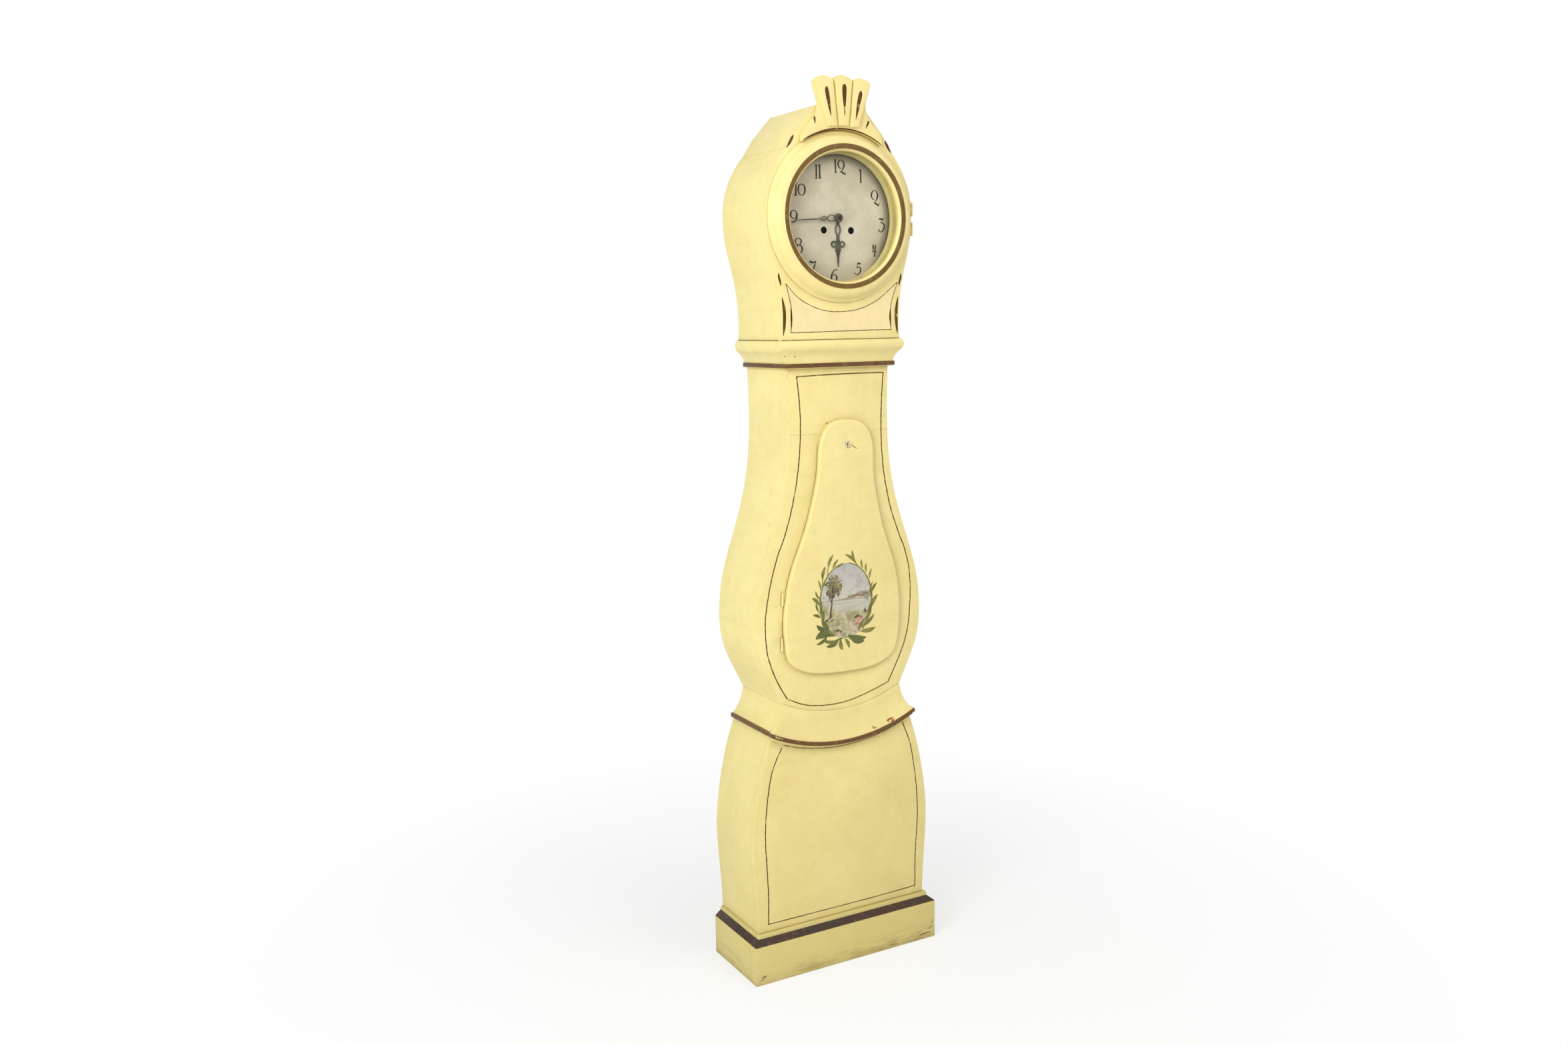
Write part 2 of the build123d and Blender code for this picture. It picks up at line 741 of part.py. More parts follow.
with BuildPart() as bezel_ring:
    with BuildSketch(turning(0, dial_z, hood_depth)):
        with BuildLine():
            Polyline((glass_radius + fit_gap, 0), (bezel_radius, 0), (bezel_radius, 3), (bezel_radius - 3, 5))
            ThreePointArc((bezel_radius - 3, 5), (bezel_radius - 7, 7.5), (bezel_radius - 9, 12))
            ThreePointArc((bezel_radius - 9, 12), (bezel_radius - 16, 21),
                          (bezel_radius - 28, bezel_depth - 1))
            Polyline((bezel_radius - 28, bezel_depth - 1), (bezel_radius - 28.5, bezel_depth),
                     (bezel_inner_radius + 6, bezel_depth), (bezel_inner_radius + 5, bezel_depth - 1),
                     (bezel_inner_radius, bezel_depth - 7),
                     (bezel_inner_radius, glass_height + glass_thickness),
                     (glass_radius + fit_gap, glass_height + glass_thickness), (glass_radius + fit_gap, 0))
        make_face()
    revolve(axis=front_axis(0, dial_z))
    with Locations(*bezel_hinge_planes):
        leaf_recess(-1, bezel_leaf_width, bezel_leaf_recess)
save(bezel_ring, "bezel_ring")

with BuildPart() as bezel_glass:
    with BuildSketch(layer(hood_depth + glass_height)):
        with Locations((0, dial_z)):
            Circle(glass_radius)
    extrude(amount=glass_thickness)
save(bezel_glass, "bezel_glass")

bezel_hinges_fixed = fixed_hinges(bezel_hinge_planes, -1, bezel_leaf_width, bezel_pin_height)
save(bezel_hinges_fixed, "bezel_hinges_fixed")
bezel_hinges_moving = moving_hinges(bezel_hinge_planes, -1, bezel_leaf_width, bezel_pin_height)
save(bezel_hinges_moving, "bezel_hinges_moving")

# =====================================================================================
# Seat board and movement plates
# =====================================================================================


def spot_plane(spot, depth):
    """Plane facing the front at a spot in x and z."""
    return Plane(origin=(spot[0], back_y - depth, spot[1]), x_dir=(1, 0, 0), z_dir=(0, -1, 0))


def rod(spot, start, end, radius, mode=Mode.ADD):
    """Round bar, or hole, from one depth to another."""
    with Locations(spot_plane(spot, start)):
        Cylinder(radius, end - start, align=(Align.CENTER, Align.CENTER, Align.MIN), mode=mode)


def block(x_span, z_span, depths, mode=Mode.ADD):
    """Square block between two widths, two heights and two depths."""
    with Locations(spot_plane((x_span[0], z_span[0]), depths[0])):
        Box(x_span[1] - x_span[0], z_span[1] - z_span[0], depths[1] - depths[0],
            align=(Align.MIN, Align.MIN, Align.MIN), mode=mode)


centre_spot = (0.0, dial_z)
time_barrel_spot = (winding_offset[0], dial_z + winding_offset[1])
strike_barrel_spot = (-winding_offset[0], dial_z + winding_offset[1])
third_spot = (third_x, dial_z + sqrt(third_distance**2 - third_x**2))
escape_spot = (0.0, third_spot[1] + sqrt(escape_distance**2 - third_x**2))
pallet_spot = (0.0, escape_spot[1] + escape_radius * sqrt(2) + 0.02)
minute_spot = (0.0, dial_z + motion_distance)
pin_spot = along(strike_barrel_spot, strike_distances[0], strike_angles[0])
hoop_spot = along(pin_spot, strike_distances[1], strike_angles[1])
warning_spot = along(hoop_spot, strike_distances[2], strike_angles[2])
fly_spot = along(warning_spot, strike_distances[3], strike_angles[3])

plate_inner = back_plate_depth
plate_outer = front_plate_depth - plate_thickness
line_x = winding_offset[0] - barrel_radius - line_radius - line_clearance
pulley_line_radius = pulley_groove_radius + line_radius + line_clearance
weight_x = line_x + pulley_line_radius
seat_bottom_z = seat_top_z - seat_thickness

with BuildPart() as seat_board:
    block((-seat_half_width, seat_half_width), (seat_bottom_z, seat_top_z),
          (seat_back_depth, seat_front_depth))
    for side in (-1, 1):
        with Locations((side * line_x, back_y - weight_depth, seat_bottom_z)):
            Box(*line_slot, seat_thickness, align=(Align.CENTER, Align.CENTER, Align.MIN), mode=Mode.SUBTRACT)
save(seat_board, "seat_board")

with BuildPart() as seat_cheeks:
    block((cheek_outer - cheek_thickness, cheek_outer), (cheek_bottom_z, seat_bottom_z),
          (back_board_thickness, case_back_of_front))
    mirror(about=Plane.YZ)
save(seat_cheeks, "seat_cheeks")

small_pivots = (third_spot, escape_spot, pin_spot, hoop_spot, warning_spot, fly_spot, hammer_spot)

with BuildPart() as front_plate:
    block((-plate_half_width, plate_half_width), (seat_top_z, plate_top_z), (plate_outer, front_plate_depth))
    for spot in (time_barrel_spot, strike_barrel_spot):
        rod(spot, plate_outer, front_plate_depth, barrel_arbor_radius + running_gap, Mode.SUBTRACT)
    rod(centre_spot, plate_outer, front_plate_depth, arbor_radius + running_gap, Mode.SUBTRACT)
    for spot in (*small_pivots, pallet_spot):
        rod(spot, plate_outer, front_plate_depth, pivot_radius + running_gap, Mode.SUBTRACT)
    rod(minute_spot, front_plate_depth, minute_stud_end, minute_stud_radius)
save(front_plate, "front_plate")

with BuildPart() as back_plate:
    block((-plate_half_width, plate_half_width), (seat_top_z, plate_top_z),
          (plate_inner - plate_thickness, plate_inner))
    for spot in (time_barrel_spot, strike_barrel_spot):
        rod(spot, plate_inner - plate_thickness, plate_inner, arbor_radius + running_gap, Mode.SUBTRACT)
    for spot in (*small_pivots, centre_spot):
        rod(spot, plate_inner - plate_thickness, plate_inner, pivot_radius + running_gap, Mode.SUBTRACT)
    rod(pallet_spot, plate_inner - plate_thickness, plate_inner, 2 * arbor_radius, Mode.SUBTRACT)
    for side in (-1, 1):
        for height in (pillar_spot[1], pillar_low_z):
            rod((side * pillar_spot[0], height), plate_inner, plate_outer, pillar_radius)
save(back_plate, "back_plate")

with BuildPart() as dial:
    rod(centre_spot, dial_depth - dial_thickness, dial_depth, dial_radius)
    rod(centre_spot, dial_depth - dial_thickness, dial_depth, dial_hole_radius, Mode.SUBTRACT)
    for spot in (time_barrel_spot, strike_barrel_spot):
        rod(spot, dial_depth - dial_thickness, dial_depth, winding_hole_radius, Mode.SUBTRACT)
    for side in (-1, 1):
        for foot in dial_feet:
            rod((side * foot[0], foot[1]), front_plate_depth, dial_depth - dial_thickness, dial_foot_radius)
save(dial, "dial")

# =====================================================================================
# Wheels
# =====================================================================================


def toothed_rim(teeth, module, phase, halves, tip, root):
    """Outline of a toothed wheel, with one tooth pointing at the phase angle."""
    pitch_radius = module * teeth / 2
    radii = (pitch_radius - root * module, pitch_radius, pitch_radius + tip * module)
    points = []
    for tooth in range(teeth):
        middle = phase + 360 * tooth / teeth
        flank = [(radius, 360 * half / teeth) for radius, half in zip(radii, halves)]
        points += [(radius, middle - half) for radius, half in flank]
        points += [(radius, middle + half) for radius, half in reversed(flank)]
    Polygon(*[along((0, 0), radius, angle) for radius, angle in points], align=None)


def crossings(rim_radius, hub_radius, spoke_width, spokes=4, start=45):
    """Open a wheel between hub and rim, leaving its spokes."""
    Circle(rim_radius, mode=Mode.SUBTRACT)
    with PolarLocations(rim_radius / 2, spokes, start_angle=start):
        Rectangle(rim_radius + 1, spoke_width)
    Circle(hub_radius)


def wheel(spot, depth, teeth, module, phase, bore=0.0, thickness=wheel_thickness, open_rim=True):
    """Wheel with spokes."""
    with BuildSketch(spot_plane(spot, depth)) as face:
        toothed_rim(teeth, module, phase, wheel_tooth_halves, wheel_addendum, wheel_dedendum)
        if open_rim:
            crossings(module * (teeth / 2 - 4.5), max(bore, arbor_radius) + 3, 2.2)
        if bore > 0:
            Circle(bore, mode=Mode.SUBTRACT)
    extrude(face.sketch, amount=thickness)


def pinion(spot, depth, teeth, module, phase, length=pinion_length, bore=0.0):
    """Pinion of few leaves, centred on the wheel that drives it."""
    with BuildSketch(spot_plane(spot, depth + (wheel_thickness - length) / 2)) as face:
        toothed_rim(teeth, module, phase, pinion_tooth_halves, pinion_addendum, pinion_dedendum)
        if bore > 0:
            Circle(bore, mode=Mode.SUBTRACT)
    extrude(face.sketch, amount=length)


def arbor(spot, thin_from=None, thin_to=None, thin_radius=0.0):
    """Arbor between the plates with a pivot at each end; thin where its pinion is cut into it."""
    start = plate_inner + end_shake
    end = plate_outer - end_shake
    rod(spot, plate_inner - plate_thickness, start, pivot_radius)
    rod(spot, end, front_plate_depth, pivot_radius)
    if thin_from is None:
        rod(spot, start, end, arbor_radius)
    else:
        rod(spot, start, thin_from, arbor_radius)
        rod(spot, thin_from, thin_to, thin_radius)
        rod(spot, thin_to, end, arbor_radius)


def pinion_span(depth):
    """Start and end depth of the pinion driven by a wheel at a depth."""
    middle = depth + wheel_thickness / 2
    return middle - pinion_length / 2, middle + pinion_length / 2


def mesh_module(distance, teeth):
    """Module of a pair from its centre distance."""
    return 2 * distance / sum(teeth)


def pinion_phase(wheel_spot, spot, leaves):
    """Phase that puts a gap of the pinion opposite a tooth of its wheel."""
    return bearing(wheel_spot, spot) + 180 + 180 / leaves


great_distance = sqrt(winding_offset[0] ** 2 + winding_offset[1] ** 2)
going_distances = (great_distance, third_distance, escape_distance)
going_modules = [mesh_module(distance, pair) for distance, pair in zip(going_distances, going_teeth)]
strike_modules = [mesh_module(distance, pair) for distance, pair in zip(strike_distances, strike_teeth)]
minute_module = mesh_module(motion_distance, motion_teeth[0])
hour_module = mesh_module(motion_distance, motion_teeth[1])


def barrel(spot, depth):
    """Drum with two flanges on its arbor, squared in front for the key."""
    rod(spot, depth, depth + barrel_length, barrel_radius)
    rod(spot, depth, depth + barrel_flange, barrel_flange_radius)
    rod(spot, depth + barrel_length - barrel_flange, depth + barrel_length, barrel_flange_radius)
    rod(spot, plate_inner - plate_thickness, plate_inner + end_shake, arbor_radius)
    rod(spot, plate_inner + end_shake, square_depth, barrel_arbor_radius)
    half = square_width / 2
    block((spot[0] - half, spot[0] + half), (spot[1] - half, spot[1] + half),
          (square_depth, square_end_depth))


# ---- going train ----
with BuildPart() as time_great_wheel:
    wheel(time_barrel_spot, time_great_depth, going_teeth[0][0], going_modules[0],
          bearing(time_barrel_spot, centre_spot), barrel_arbor_radius + running_gap)
save(time_great_wheel, "time_great_wheel")

with BuildPart() as time_barrel:
    barrel(time_barrel_spot, time_barrel_depth)
save(time_barrel, "time_barrel")

with BuildPart() as centre_wheel:
    arbor(centre_spot)
    rod(centre_spot, plate_outer - end_shake, arbor_end_depth, arbor_radius)
    wheel(centre_spot, centre_wheel_depth, going_teeth[1][0], going_modules[1],
          bearing(centre_spot, third_spot))
    pinion(centre_spot, time_great_depth, going_teeth[0][1], going_modules[0],
           pinion_phase(time_barrel_spot, centre_spot, going_teeth[0][1]))
save(centre_wheel, "centre_wheel")

with BuildPart() as third_wheel:
    arbor(third_spot, *pinion_span(centre_wheel_depth), pivot_radius)
    wheel(third_spot, third_wheel_depth, going_teeth[2][0], going_modules[2],
          bearing(third_spot, escape_spot))
    pinion(third_spot, centre_wheel_depth, going_teeth[1][1], going_modules[1],
           pinion_phase(centre_spot, third_spot, going_teeth[1][1]))
save(third_wheel, "third_wheel")

with BuildPart() as escape_wheel:
    arbor(escape_spot, *pinion_span(third_wheel_depth), pivot_radius)
    pinion(escape_spot, third_wheel_depth, going_teeth[2][1], going_modules[2],
           pinion_phase(third_spot, escape_spot, going_teeth[2][1]))
    with BuildSketch(spot_plane(escape_spot, escape_wheel_depth)):
        tooth_angle = 360 / escape_teeth
        outline = []
        for tooth in range(escape_teeth):
            start_angle = tooth * tooth_angle
            outline.append(along((0, 0), escape_radius * 0.8, start_angle))
            outline.append(along((0, 0), escape_radius, start_angle + tooth_angle * 0.55))
            outline.append(along((0, 0), escape_radius, start_angle + tooth_angle * 0.62))
            outline.append(along((0, 0), escape_radius * 0.8, start_angle + tooth_angle * 0.74))
        Polygon(*outline, align=None)
        crossings(escape_radius * 0.66, arbor_radius + 2, 1.8)
    extrude(amount=wheel_thickness)
save(escape_wheel, "escape_wheel")

with BuildPart() as pallet_anchor:
    pallet_arc = escape_radius + pallet_clearance + 0.1
    anchor_drop = pallet_spot[1] - escape_spot[1]
    tip = along((0, -anchor_drop), pallet_arc, 45)
    heel = along((0, -anchor_drop), pallet_arc + 0.3, 33)
    with BuildSketch(spot_plane(pallet_spot, escape_wheel_depth - 0.5)):
        with BuildLine():
            Polyline((0, 5), (5, 4.4), (13.5, -1.5), (15.8, -7.5), heel, tip, (11.3, -5.2), (7, -1.2),
                     (0, -4.2))
            mirror(about=Plane.YZ)
        make_face()
    extrude(amount=wheel_thickness + 1)
    rod(pallet_spot, cock_back_depth + cock_thickness - 2.5, front_plate_depth, pivot_radius)
    rod(pallet_spot, cock_back_depth + cock_thickness + end_shake, plate_outer - end_shake, arbor_radius)
    fork_z = pallet_spot[1] - crutch_length
    fork_inner = rod_radius + fork_gap
    with BuildSketch(spot_plane((0, 0), crutch_depth)):
        with Locations(pallet_spot):
            Circle(arbor_radius + 2)
        with Locations((0, pallet_spot[1] - crutch_length / 2)):
            Rectangle(3, crutch_length)
        with Locations((0, fork_z)):
            Rectangle(2 * (fork_inner + fork_prong), 5)
    extrude(amount=crutch_thickness)
    for side in (-1, 1):
        x_span = sorted((side * fork_inner, side * (fork_inner + fork_prong)))
        block(x_span, (fork_z - 2.5, fork_z + 2.5), (pendulum_depth - eye_length / 2, crutch_depth))
save(pallet_anchor, "pallet_anchor")

# ---- motion work and hands ----
minute_wheel_depth = 169.0
hour_wheel_depth = 175.5
cannon_radius = barrel_arbor_radius

with BuildPart() as cannon_pinion:
    cannon_middle = minute_wheel_depth
    pinion(centre_spot, cannon_middle, motion_teeth[0][0], minute_module,
           pinion_phase(minute_spot, centre_spot, motion_teeth[0][0]), 5)
    rod(centre_spot, minute_wheel_depth, hand_depths[1], cannon_radius)
    rod(centre_spot, front_plate_depth, hand_depths[1], arbor_radius + running_gap, Mode.SUBTRACT)
save(cannon_pinion, "cannon_pinion")

with BuildPart() as minute_wheel:
    wheel(minute_spot, minute_wheel_depth, motion_teeth[0][1], minute_module,
          bearing(minute_spot, centre_spot), 0, wheel_thickness)
    pinion_start = minute_wheel_depth + wheel_thickness
    pinion_middle = (pinion_start + minute_pinion_end) / 2 - wheel_thickness / 2
    pinion(minute_spot, pinion_middle, motion_teeth[1][0], hour_module,
           bearing(minute_spot, centre_spot) + 180 / motion_teeth[1][0], minute_pinion_end - pinion_start)
    rod(minute_spot, minute_wheel_depth, minute_stud_end, minute_stud_radius + running_gap, Mode.SUBTRACT)
save(minute_wheel, "minute_wheel")

with BuildPart() as hour_wheel:
    wheel(centre_spot, hour_wheel_depth, motion_teeth[1][1], hour_module,
          bearing(centre_spot, minute_spot), cannon_radius + running_gap)
    rod(centre_spot, hour_wheel_depth, hand_depths[0] + hand_thickness + 0.5, hour_pipe_radius)
    rod(centre_spot, hour_wheel_depth, hand_depths[1], cannon_radius + running_gap, Mode.SUBTRACT)
save(hour_wheel, "hour_wheel")


def hand_plane(depth, angle):
    """Plane of a hand, with x along the hand from the centre of the dial."""
    turn = radians(angle)
    return Plane(origin=(0, back_y - depth, dial_z), x_dir=(cos(turn), 0, sin(turn)), z_dir=(0, -1, 0))


def pierced_loop(x, length, width, wall):
    """Oval loop of a hand, centred at x."""
    with Locations((x, 0)):
        Ellipse(length / 2, width / 2)
        Ellipse(length / 2 - wall, width / 2 - wall, mode=Mode.SUBTRACT)


def side_curls(x, y, outer, inner):
    """Round curl on each side of a hand."""
    with Locations((x, y), (x, -y)):
        Circle(outer)
        Circle(inner, mode=Mode.SUBTRACT)


def both_sides(*half):
    """Outline made of one side's points and their mirror image."""
    return [*half, *[(x, -y) for x, y in reversed(half)]]


with BuildPart() as hour_hand:
    with BuildSketch(hand_plane(hand_depths[0], hour_hand_angle)):
        pierced_loop(26, 26, 14, 2.6)
        side_curls(57.5, 11, 7.2, 4.3)
        Polygon(*both_sides((36, 3.2), (49, 3.7), (51.5, 5.2), (57, 4.8), (62.5, 8.5), (68, 5.5), (71.5, 7.5),
                            (74.5, 4.6), (79, 4.2), (82, 2.6), (95, 1.5), (107, 0.4)), align=None)
        Polygon(*both_sides((7, 3.4), (14.5, 2.4)), align=None)
        Circle(9)
        Circle(hour_pipe_radius + running_gap, mode=Mode.SUBTRACT)
    extrude(amount=hand_thickness)
save(hour_hand, "hour_hand")

with BuildPart() as minute_hand:
    with BuildSketch(hand_plane(hand_depths[1], minute_hand_angle)):
        pierced_loop(19.6, 22, 15.2, 2.0)
        pierced_loop(38.6, 18.4, 11.2, 1.8)
        with Locations((39, 0)):
            Circle(2.9)
            Circle(1.6, mode=Mode.SUBTRACT)
        Polygon(*both_sides((30, 0.7), (36.6, 0.7)), align=None)
        Polygon((46.8, 0), (52, 3.6), (58.5, 0), (52, -3.6), align=None)
        Polygon((48.8, 0), (52, 2.1), (55.8, 0), (52, -2.1), align=None, mode=Mode.SUBTRACT)
        Polygon(*both_sides((56.5, 1.4), (60, 1.6), (104, 0.9), (120, 0.3)), align=None)
        Circle(9.5)
    extrude(amount=hand_thickness)
    rod(centre_spot, hand_depths[1] + hand_thickness, arbor_end_depth - 1, 4.5)
    rod(centre_spot, hand_depths[1], arbor_end_depth, arbor_radius + running_gap, Mode.SUBTRACT)
save(minute_hand, "minute_hand")

# ---- striking train ----
with BuildPart() as strike_great_wheel:
    wheel(strike_barrel_spot, strike_great_depth, strike_teeth[0][0], strike_modules[0],
          bearing(strike_barrel_spot, pin_spot), barrel_arbor_radius + running_gap, wheel_thickness)
    with BuildSketch(spot_plane(strike_barrel_spot, strike_great_depth + wheel_thickness)):
        Circle(count_radius)
        blows = 0
        for hour in range(1, 13):
            blows += hour
            with PolarLocations(count_radius, 1, start_angle=360 * blows / 78):
                Rectangle(6, 1.6, mode=Mode.SUBTRACT)
        Circle(count_radius - 6, mode=Mode.SUBTRACT)
        with PolarLocations(count_radius / 2, 4, start_angle=45):
            Rectangle(count_radius - 8, 2.2)
        Circle(barrel_arbor_radius + 3)
        Circle(barrel_arbor_radius + running_gap, mode=Mode.SUBTRACT)
    extrude(amount=wheel_thickness / 2)
save(strike_great_wheel, "strike_great_wheel")

with BuildPart() as strike_barrel:
    barrel(strike_barrel_spot, strike_barrel_depth)
save(strike_barrel, "strike_barrel")

with BuildPart() as pin_wheel:
    arbor(pin_spot)
    wheel(pin_spot, pin_wheel_depth, strike_teeth[1][0], strike_modules[1], bearing(pin_spot, hoop_spot))
    pinion(pin_spot, strike_great_depth, strike_teeth[0][1], strike_modules[0],
           pinion_phase(strike_barrel_spot, pin_spot, strike_teeth[0][1]))
    for pin in range(8):
        rod(along(pin_spot, 14.0, 45 * pin + 22), pin_wheel_depth + wheel_thickness, pin_wheel_depth + 8, 0.9)
save(pin_wheel, "pin_wheel")

with BuildPart() as hoop_wheel:
    arbor(hoop_spot, *pinion_span(pin_wheel_depth), pivot_radius)
    wheel(hoop_spot, hoop_wheel_depth, strike_teeth[2][0], strike_modules[2],
          bearing(hoop_spot, warning_spot))
    pinion(hoop_spot, pin_wheel_depth, strike_teeth[1][1], strike_modules[1],
           pinion_phase(pin_spot, hoop_spot, strike_teeth[1][1]))
save(hoop_wheel, "hoop_wheel")

with BuildPart() as warning_wheel:
    arbor(warning_spot, *pinion_span(hoop_wheel_depth), pivot_radius * 0.8)
    wheel(warning_spot, warning_wheel_depth, strike_teeth[3][0], strike_modules[3],
          bearing(warning_spot, fly_spot))
    pinion(warning_spot, hoop_wheel_depth, strike_teeth[2][1], strike_modules[2],
           pinion_phase(hoop_spot, warning_spot, strike_teeth[2][1]))
save(warning_wheel, "warning_wheel")

with BuildPart() as fly:
    arbor(fly_spot, *pinion_span(warning_wheel_depth), pivot_radius * 0.7)
    pinion(fly_spot, warning_wheel_depth, strike_teeth[3][1], strike_modules[3],
           pinion_phase(warning_spot, fly_spot, strike_teeth[3][1]))
    block((fly_spot[0] - fly_reach, fly_spot[0] + fly_reach), (fly_spot[1] - 0.4, fly_spot[1] + 0.4),
          fly_depths)
save(fly, "fly")

# ---- bell and hammer ----
with BuildPart() as bell:
    with BuildSketch(Plane(origin=(0, back_y - bell_depth, 0), x_dir=(1, 0, 0), z_dir=(0, -1, 0))):
        top_z = bell_mouth_z + bell_height
        with BuildLine():
            ThreePointArc((0, top_z), (bell_radius * 0.72, bell_mouth_z + bell_height * 0.74),
                          (bell_radius, bell_mouth_z))
            Line((bell_radius, bell_mouth_z), (bell_radius - bell_wall, bell_mouth_z))
            ThreePointArc((bell_radius - bell_wall, bell_mouth_z),
                          (bell_radius * 0.72 - bell_wall * 0.7,
                           bell_mouth_z + bell_height * 0.74 - bell_wall * 0.7),
                          (0, top_z - bell_wall))
            Line((0, top_z - bell_wall), (0, top_z))
        make_face()
    revolve(axis=Axis((0, back_y - bell_depth, 0), (0, 0, 1)))
    block((-bell_bar_half, bell_bar_half), (plate_top_z, plate_top_z + 4),
          (plate_inner - plate_thickness, front_plate_depth))
    with Locations((0, back_y - bell_depth, plate_top_z + 4)):
        Cylinder(3, top_z + 6 - plate_top_z - 4, align=(Align.CENTER, Align.CENTER, Align.MIN))
    with Locations((0, back_y - bell_depth, top_z - 0.5)):
        Cylinder(6, 4, align=(Align.CENTER, Align.CENTER, Align.MIN))
save(bell, "bell")

with BuildPart() as hammer:
    arbor(hammer_spot)
    head_z = bell_mouth_z + 9
    head_end = -(bell_radius + hammer_gap)
    tail = along(pin_spot, 16.6, bearing(pin_spot, hammer_spot))
    with BuildSketch(spot_plane((0, 0), bell_depth - 1.5)):
        with BuildLine():
            Line(hammer_spot, (head_end - 6, head_z))
        trace(line_width=4)
    extrude(amount=3)
    with BuildSketch(spot_plane((0, 0), pin_wheel_depth + 4)):
        with BuildLine():
            Line(hammer_spot, tail)
        trace(line_width=3)
    extrude(amount=3)
    with Locations(Plane(origin=(head_end, back_y - bell_depth, head_z), x_dir=(0, 1, 0), z_dir=(-1, 0, 0))):
        Cylinder(6, 12, align=(Align.CENTER, Align.CENTER, Align.MIN))
save(hammer, "hammer")

# =====================================================================================
# Pendulum
# =====================================================================================

with BuildPart() as suspension_cock:
    cock_front = cock_back_depth + cock_thickness
    block((-cock_half_width, cock_half_width), cock_z, (cock_back_depth, cock_front))
    for side in (-1, 1):
        x_span = sorted((side * cock_half_width, side * (cock_half_width - cock_leg)))
        block(x_span, cock_z, (cock_front, plate_inner - plate_thickness))
    rod(pallet_spot, cock_front - 3, cock_front, pivot_radius + running_gap, Mode.SUBTRACT)
    rod(pallet_spot, stud_back_depth, cock_back_depth, suspension_pin_radius)
    rod(pallet_spot, stud_back_depth, stud_back_depth + 2.5, suspension_pin_radius + 2)
save(suspension_cock, "suspension_cock")

bob_z = pallet_spot[1] - pendulum_length
rod_end_z = bob_z - bob_radius - 34

with BuildPart() as pendulum_rod:
    rod(pallet_spot, pendulum_depth - eye_length / 2, pendulum_depth + eye_length / 2, eye_radius)
    with Locations((0, back_y - pendulum_depth, rod_end_z)):
        Cylinder(rod_radius, pallet_spot[1] - rod_end_z, align=(Align.CENTER, Align.CENTER, Align.MIN))
    rod(pallet_spot, pendulum_depth - eye_length, pendulum_depth + eye_length,
        suspension_pin_radius + running_gap, Mode.SUBTRACT)
save(pendulum_rod, "pendulum_rod")

with BuildPart() as pendulum_bob:
    with BuildSketch(turning(0, bob_z, pendulum_depth)):
        with BuildLine():
            face = bob_thickness / 2
            rim = face - 7
            flat = 2 * eye_radius
            Polyline((flat, -face), (0, -face), (0, face), (flat, face))
            ThreePointArc((flat, face), (bob_radius * 0.62, face - 2), (bob_radius, rim))
            Line((bob_radius, rim), (bob_radius, -rim))
            ThreePointArc((bob_radius, -rim), (bob_radius * 0.62, 2 - face), (flat, -face))
        make_face()
    revolve(axis=front_axis(0, bob_z))
    with Locations((0, back_y - pendulum_depth, bob_z - bob_radius - 12.5)):
        Cylinder(9, 12, align=(Align.CENTER, Align.CENTER, Align.MIN))
    with Locations((0, back_y - pendulum_depth, bob_z)):
        Cylinder(rod_radius + running_gap, 3 * bob_radius, mode=Mode.SUBTRACT)
save(pendulum_bob, "pendulum_bob")

# =====================================================================================
# Weights, pulleys and lines
# =====================================================================================

weight_top_z = weight_bottom_z + weight_height
pulley_z = weight_top_z + pulley_above_weight


def driving_weight(x):
    """Turned weight with the stirrup and pin of its pulley."""
    centre = (x, back_y - weight_depth)
    with BuildSketch(Plane(origin=(*centre, 0), x_dir=(1, 0, 0), z_dir=(0, -1, 0))) as profile:
        with BuildLine() as rim:
            Polyline((0, weight_bottom_z), (weight_radius - 3, weight_bottom_z),
                     (weight_radius, weight_bottom_z + 3), (weight_radius, weight_top_z - 8),
                     (weight_radius - 8, weight_top_z), (5, weight_top_z + 2), (5, weight_top_z + 10),
                     (0, weight_top_z + 10), close=True)
        make_face(rim.edges())
    revolve(profile.sketch, axis=Axis((*centre, 0), (0, 0, 1)))
    leg_inner = pulley_thickness / 2 + slide_gap
    leg_outer = leg_inner + 2.2
    block((x - 5, x + 5), (weight_top_z + 8, weight_top_z + 13),
          (weight_depth - leg_outer, weight_depth + leg_outer))
    for start in (-leg_outer, leg_inner):
        block((x - 5, x + 5), (weight_top_z + 8, pulley_z + 4),
              (weight_depth + start, weight_depth + start + 2.2))
    rod((x, pulley_z), weight_depth - leg_outer, weight_depth + leg_outer, pulley_pin_radius)


def grooved_pulley(x):
    """Pulley with a groove for the line."""
    half = pulley_thickness / 2
    bore = pulley_pin_radius + running_gap
    with BuildSketch(turning(x, pulley_z, weight_depth)) as profile:
        Polygon((bore, -half), (pulley_radius, -half), (pulley_radius, 1.3 - half),
                (pulley_groove_radius, -0.9),
                (pulley_groove_radius, 0.9), (pulley_radius, half - 1.3), (pulley_radius, half), (bore, half),
                align=None)
    revolve(profile.sketch, axis=front_axis(x, pulley_z))


def driving_line(side):
    """Line from the barrel round the pulley and up to the seat board."""
    x = side * weight_x
    with BuildLine(spot_plane((0, 0), weight_depth)) as path:
        Line((side * line_x, time_barrel_spot[1]), (side * line_x, pulley_z))
        ThreePointArc((side * line_x, pulley_z), (x, pulley_z - pulley_line_radius),
                      (x + side * pulley_line_radius, pulley_z))
        Line((x + side * pulley_line_radius, pulley_z), (x + side * pulley_line_radius, seat_bottom_z))
    with BuildSketch(Plane(origin=(side * line_x, back_y - weight_depth, time_barrel_spot[1]),
                           z_dir=(0, 0, -1))) as section:
        Circle(line_radius)
    sweep(section.sketch, path=path.line)


